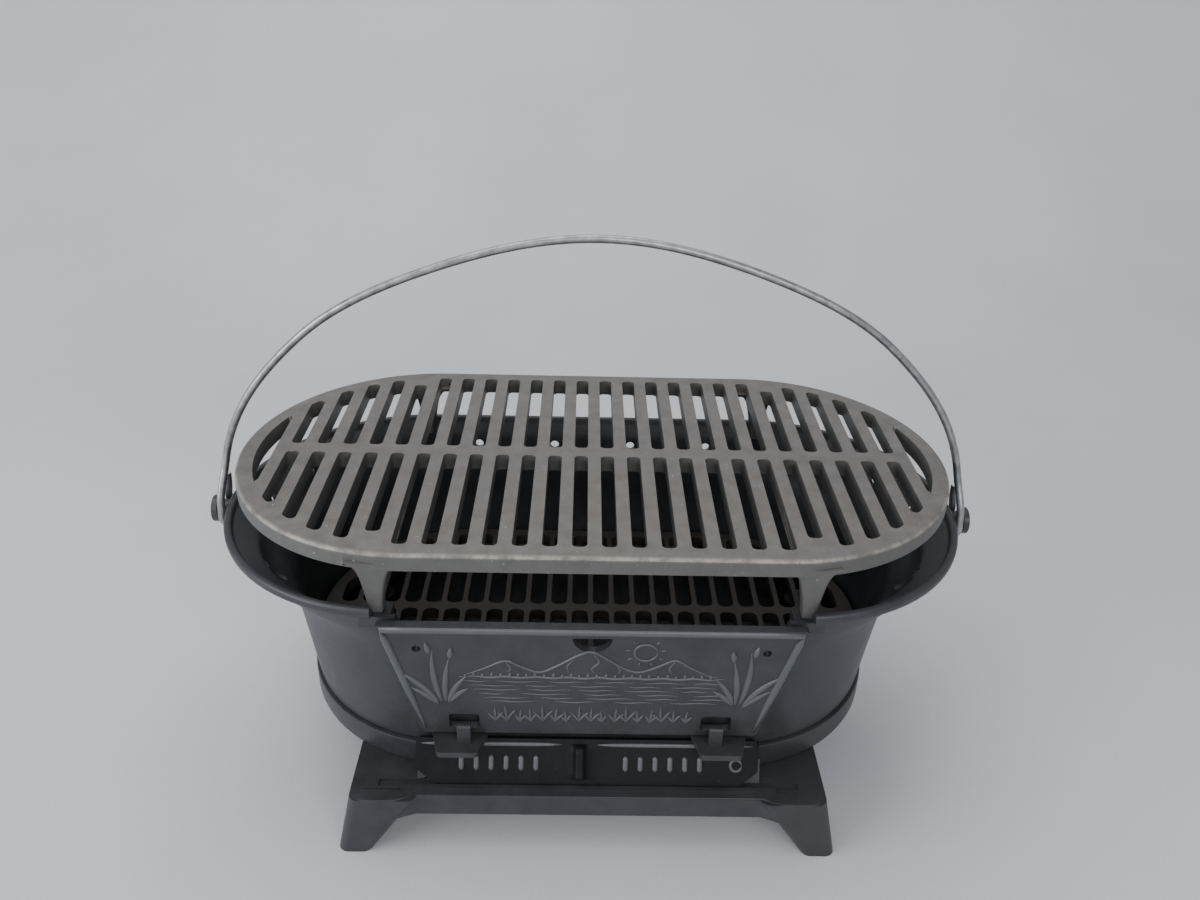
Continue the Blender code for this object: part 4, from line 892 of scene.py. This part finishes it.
def door_relief(bm, place):
    """A lake scene in raised lines: reeds at the sides, hills, a low sun, water and a grassy bank."""
    hills = ((-72, 49), (-60, 55), (-49, 61), (-41, 57), (-30, 52), (-20, 57), (-8, 66), (0, 69), (9, 63),
             (18, 56), (27, 53), (38, 58), (47, 63), (56, 57), (66, 51), (73, 49))
    ridge(bm, smooth_line(hills, 4), 1.5 * MM, 0.9 * MM, place, False)
    folds = (
        ((-49, 60), (-46, 55), (-48, 51)), ((0, 68), (4, 61), (0, 55), (2, 51)), ((47, 62), (44, 56), (46, 51)),
        ((-10, 63), (-14, 57), (-13, 52)), ((14, 58), (16, 54), (15, 51)),
    )
    for fold in folds:
        ridge(bm, smooth_line(fold), 1.3 * MM, 0.6 * MM, place)
    sun = [(30 + 6.5 * math.cos(math.radians(a)), 69 + 6.5 * math.sin(math.radians(a)))
           for a in range(0, 361, 15)]
    ridge(bm, [(x * MM, y * MM) for x, y in sun], 1.4 * MM, 0.8 * MM, place, False)
    for degrees in range(10, 360, 40):
        angle = math.radians(degrees)
        start = (30 + 8.6 * math.cos(angle), 69 + 8.6 * math.sin(angle))
        if start[1] < 76:
            ridge(bm, bent(start, degrees, 3.2, 0, 6), 1.1 * MM, 0.6 * MM, place)
    shore = [(x, 47.5 + 0.5 * math.sin(x * 0.35)) for x in range(-76, 77, 4)]
    ridge(bm, smooth_line(shore, 2), 1.8 * MM, 0.9 * MM, place, False)
    for i, x in enumerate(range(-72, 73, 5)):
        tall = 2.0 + 1.6 * abs(math.sin(i * 1.7))
        ridge(bm, bent((x, 47.6), 84 + 10 * math.sin(i), tall, 0, 5), 1.9 * MM, 0.8 * MM, place)
    for row, (height, gap) in enumerate(((43.6, 5), (40.0, 11), (36.6, 8), (33.0, 16), (29.6, 12), (26.4, 20))):
        x = -74 + 3 * row
        step = 0
        while x < 66 - 2 * row:
            length = 16 + 13 * abs(math.sin(1.3 * step + 2.1 * row))
            line = [(x + length * t / 8, height + 0.35 * math.sin(t + step)) for t in range(9)]
            ridge(bm, smooth_line(line, 2), 1.0 * MM, 0.55 * MM, place)
            x += length + gap * 0.5
            step += 1
    for i, x in enumerate(range(-56, 57, 7)):
        for lean, length in ((66, 9.5), (90, 12.5), (115, 8.5)):
            turn = lean + 7 * math.sin(2.3 * i)
            ridge(bm, bent((x + 0.02 * (lean - 90), 8.5), turn, length + 2.5 * math.sin(1.9 * i), (90 - lean) * -0.8),
                  1.9 * MM, 1.0 * MM, place)
    for side in (-1, 1):
        blades = ((86, 24, 76, 46, 22), (84, 24, 88, 38, 16), (88, 24, 64, 36, -30), (83, 24, 103, 27, 30),
                  (88, 23, 52, 22, -20), (82, 25, 118, 17, 34))
        for x, y, angle, length, bend in blades:
            points = bent((x, y), angle, length, bend)
            points = [(side * px, py) for px, py in points]
            ridge(bm, points, 3.8 * MM, 1.25 * MM, place)
        for x, y, angle in ((91, 66, 78), (80, 62, 98)):
            points = [(side * px, py) for px, py in bent((x, y), angle, 9, 0)]
            ridge(bm, points, 3.6 * MM, 1.6 * MM, place)


def fire_door():
    stand = Matrix.Rotation(math.radians(90), 4, "X")
    lean = Matrix.Translation(HINGE) @ Matrix.Rotation(DOOR_TILT, 4, "X") @ stand
    holes = []
    for side in (-1, 1):
        middle = side * NUB_X
        left, right, low = middle - 9 * MM, middle + 9 * MM, DOOR_THICKNESS / 2
        holes.append(rounded([(left, low), (right, low), (right, 14.5 * MM), (left, 14.5 * MM)], 2 * MM, 5))
        turn = [2 * math.pi * i / 24 for i in range(24)]
        holes.append([
            (side * 98 * MM + 2.5 * MM * math.cos(a), 69.5 * MM + 2.5 * MM * math.sin(a)) for a in turn
        ])
    half_turn = [math.pi + math.pi * i / 24 for i in range(25)]
    holes.append([(11 * MM * math.cos(a), 79.5 * MM + 11 * MM * math.sin(a)) for a in half_turn])
    door = plate("fire_door_casting", [door_trapezoid(0.0, 2 * MM)] + holes, DOOR_THICKNESS, SHOWN, lean)
    soften(door, 0.8 * MM, 3, 40)
    dress(door, "fire_door", BLACK, ["fire_door"])
    bm = bmesh.new()
    place = lean @ Matrix.Translation((0, 0, DOOR_THICKNESS / 2))
    door_relief(bm, place)
    foot_low, foot_high = 1.5 * MM, DOOR_TOP - 2.8 * MM
    low_x, high_x = door_half_width(foot_low) - 2.9 * MM, door_half_width(foot_high) - 2.9 * MM
    frame_line = []
    corners = ((-low_x, foot_low), (-high_x, foot_high), (high_x, foot_high), (low_x, foot_low))
    for a, b in zip(corners, corners[1:]):
        frame_line += [(a[0] + (b[0] - a[0]) * i / 12, a[1] + (b[1] - a[1]) * i / 12) for i in range(13)]
    keep = [frame_line[0]]
    keep += [p for p, q in zip(frame_line[1:], frame_line) if (Vector(p) - Vector(q)).length > 0.1 * MM]
    ridge(bm, keep, 4.4 * MM, 1.7 * MM, place, False)
    relief = object_from("fire_door_relief", bm, SHOWN)
    dress(relief, "fire_door", RUBBED_AND_HIGHLIT)


def draft_door():
    corners = [
        (-DRAFT_HALF_WIDTH + 12 * MM, 0.0), (DRAFT_HALF_WIDTH - 12 * MM, 0.0), (DRAFT_HALF_WIDTH, 9 * MM),
        (DRAFT_HALF_WIDTH, DRAFT_SLANT), (-DRAFT_HALF_WIDTH, DRAFT_SLANT), (-DRAFT_HALF_WIDTH, 9 * MM),
    ]
    front = Matrix.Translation((DRAFT_REST, *DRAFT_FOOT))
    stand = front @ Matrix.Rotation(math.radians(90) - DRAFT_TILT, 4, "X")
    inward = Matrix.Translation((0, 0, -DRAFT_THICKNESS / 2))
    door = plate(
        "draft_door_casting", [rounded(corners, 3 * MM, 6)], DRAFT_THICKNESS, SHOWN, stand @ inward,
    )
    half = 2.5 * MM
    side = [(10.5, 0.0), (7.5, 0.25), (5.4, 0.9), (4.1, 1.9), (3.3, 3.2), (2.7, 4.6), (2.1, 5.6), (1.2, 6.0)]
    profile = [(x * MM, z * MM) for x, z in side] + [(-x * MM, z * MM) for x, z in reversed(side)]
    profile += [(-10.5 * MM, -1 * MM), (10.5 * MM, -1 * MM)]
    fin_x = -4.8 * MM
    rings = []
    for along, share in ((3.5, 0.12), (4.1, 0.55), (5.2, 0.88), (6.6, 1.0), (21.5, 1.0), (23.4, 0.86),
                         (24.5, 0.5), (25.0, 0.12)):
        points = [
            stand @ Vector((fin_x + x * (0.75 + 0.25 * share), along * MM, z * share if z > 0 else z))
            for x, z in profile
        ]
        rings.append(points)
    boolean(door, "UNION", loft("fin", rings, TOOLS))
    soften(door, 0.7 * MM, 3, 50)
    dress(door, "draft_door", DULL_PAINTED_SHADE, ["draft_door"])
    bm = bmesh.new()
    for group in (-1, 1):
        for i in range(6):
            x = group * 27 + group * 9 * i - 4
            points = [(x * MM, (8.5 + 9.5 * j / 8) * MM) for j in range(9)]
            ridge(bm, points, 3.2 * MM, 1.1 * MM, stand, False)
    loop = [(90 + 3.4 * math.cos(math.radians(a)), 13 + 3.4 * math.sin(math.radians(a)))
            for a in range(0, 361, 20)]
    ridge(bm, [(x * MM, y * MM) for x, y in loop], 1.8 * MM, 0.9 * MM, stand, False)
    for low_x, high_x in ((-100, -15), (6, 100)):
        line = [((low_x + (high_x - low_x) * i / 10) * MM, 24.6 * MM) for i in range(11)]
        ridge(bm, line, 2.6 * MM, 0.8 * MM, stand, False)
    marks = object_from("draft_door_relief", bm, SHOWN)
    dress(marks, "draft_door", RUBBED_AND_HIGHLIT)


def bail_side(side):
    points = []
    steps = 70
    ear_angle = math.acos((EAR_HEIGHT + 4 * MM - BAIL_CENTRE_HEIGHT) / BAIL_RISE)
    turn = math.radians(48)
    sweep_start = 200 * MM
    for i in range(steps + 1):
        angle = ear_angle * (i / steps) ** 0.93
        if angle < turn:
            swell = -3.1 * MM * math.sin(math.pi * angle / turn) ** 2
        else:
            swell = 1.6 * MM * math.sin(math.pi * (angle - turn) / (ear_angle - turn)) ** 2
        x = (BAIL_HALF_SPAN + swell) * math.sin(angle)
        z = BAIL_CENTRE_HEIGHT + (BAIL_RISE + swell) * math.cos(angle)
        part = min(1.0, max(0.0, (sweep_start - z) / (sweep_start - EAR_HEIGHT - 8 * MM)))
        points.append((x, -HOOK_RADIUS * part * part * (3 - 2 * part), z))
    for i in range(17):
        angle = math.pi + math.pi * i / 16
        points.append((BAIL_HALF_SPAN, HOOK_RADIUS * math.cos(angle), EAR_HEIGHT + HOOK_RADIUS * math.sin(angle)))
    tip = smooth_line(((8.8, 171.0), (8.5, 177.0), (7.8, 182.0), (6.8, 186.0), (5.6, 189.0)), 4)
    for y, z in tip:
        inward = max(0.0, z - 171 * MM) * 0.14
        points.append((BAIL_HALF_SPAN - inward, y, z))
    return [(side * x, y, z) for x, y, z in points]


def bail_handle():
    points = bail_side(-1)[::-1] + bail_side(1)[1:]
    curve = bpy.data.curves.new("bail_wire", "CURVE")
    curve.dimensions = "3D"
    curve.bevel_depth = WIRE_RADIUS
    curve.bevel_resolution = 6
    curve.use_fill_caps = True
    spline = curve.splines.new("POLY")
    spline.points.add(len(points) - 1)
    for point, place in zip(spline.points, points):
        point.co = (*place, 1.0)
    spline.use_smooth = True
    drawn = bpy.data.objects.new("bail_curve", curve)
    TOOLS.objects.link(drawn)
    graph = bpy.context.evaluated_depsgraph_get()
    mesh = bpy.data.meshes.new_from_object(drawn.evaluated_get(graph))
    bpy.data.objects.remove(drawn, do_unlink=True)
    bail = bpy.data.objects.new("bail_wire", mesh)
    SHOWN.objects.link(bail)
    dress(bail, "bail", ZINC, ["bail_handle"])
    bail.data.set_sharp_from_angle(angle=math.radians(50))


def fasteners():
    for name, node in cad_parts.items():
        if name.startswith("bowl_"):
            node.data.materials.clear()
            node.data.materials.append(STEEL)


def sheet():
    """A pale sheet that runs under the grill and sweeps up behind it."""
    profile = [(-3.0, 0.0), (0.55, 0.0)]
    radius = 0.9
    for i in range(1, 25):
        angle = math.radians(72 * i / 24)
        profile.append((0.55 + radius * math.sin(angle), radius * (1 - math.cos(angle))))
    end_y, end_z = profile[-1]
    profile.append((end_y + 0.9, end_z + 2.8))
    bm = bmesh.new()
    columns = []
    for x in (-4.0, 4.0):
        columns.append([bm.verts.new((x, y, z)) for y, z in profile])
    left, right = columns
    for i in range(len(profile) - 1):
        bm.faces.new((left[i], right[i], right[i + 1], left[i + 1]))
    floor = object_from("sheet", bm, SHOWN)
    floor.data.materials.append(backdrop_sheet())
    floor.data.shade_smooth()


def area_light(name, place, target, size, power, colour):
    light = bpy.data.lights.new(name, "AREA")
    light.shape = "RECTANGLE"
    light.size, light.size_y = size
    light.energy = power
    light.color = colour
    lamp = bpy.data.objects.new(name, light)
    lamp.location = place
    lamp.rotation_mode = "QUATERNION"
    lamp.rotation_quaternion = (Vector(target) - Vector(place)).to_track_quat("-Z", "Y")
    bpy.context.scene.collection.objects.link(lamp)


def lights():
    world = bpy.data.worlds.new("room")
    world.use_nodes = True
    sky = world.node_tree.nodes["Background"]
    sky.inputs["Color"].default_value = (0.80, 0.86, 0.95, 1)
    sky.inputs["Strength"].default_value = 0.6
    bpy.context.scene.world = world
    area_light("ceiling", (-0.3, 0.3, 2.0), (0, 0, 0.1), (2.2, 1.6), 24.0, (1.0, 0.99, 0.97))
    area_light("left_window", (-1.7, -0.9, 0.8), (0, 0, 0.1), (1.4, 1.2), 26.0, (0.93, 0.96, 1.0))
    area_light("front", (0.5, -1.9, 1.3), (0, 0, 0.1), (1.6, 1.0), 20.0, (1.0, 0.985, 0.97))


def camera():
    pitch, yaw, roll = math.radians(29.15), math.radians(1.2), math.radians(1.6)
    forward = Vector((math.sin(yaw) * math.cos(pitch), math.cos(yaw) * math.cos(pitch), -math.sin(pitch)))
    level = Vector((math.cos(yaw), -math.sin(yaw), 0))
    above = level.cross(forward)
    right = level * math.cos(roll) + above * math.sin(roll)
    up = above * math.cos(roll) - level * math.sin(roll)
    data = bpy.data.cameras.new("camera")
    data.sensor_width = 36.0
    data.lens = 30.19
    data.clip_start = 0.01
    eye = bpy.data.objects.new("camera", data)
    bpy.context.scene.collection.objects.link(eye)
    columns = Matrix((right, up, -forward)).transposed().to_4x4()
    eye.matrix_world = Matrix.Translation((-0.008, -0.550, 0.5194)) @ columns
    bpy.context.scene.camera = eye


fire_bowl()
base()
cooking_grate()
charcoal_grate()
fire_door()
draft_door()
bail_handle()
fasteners()
sheet()
lights()
camera()
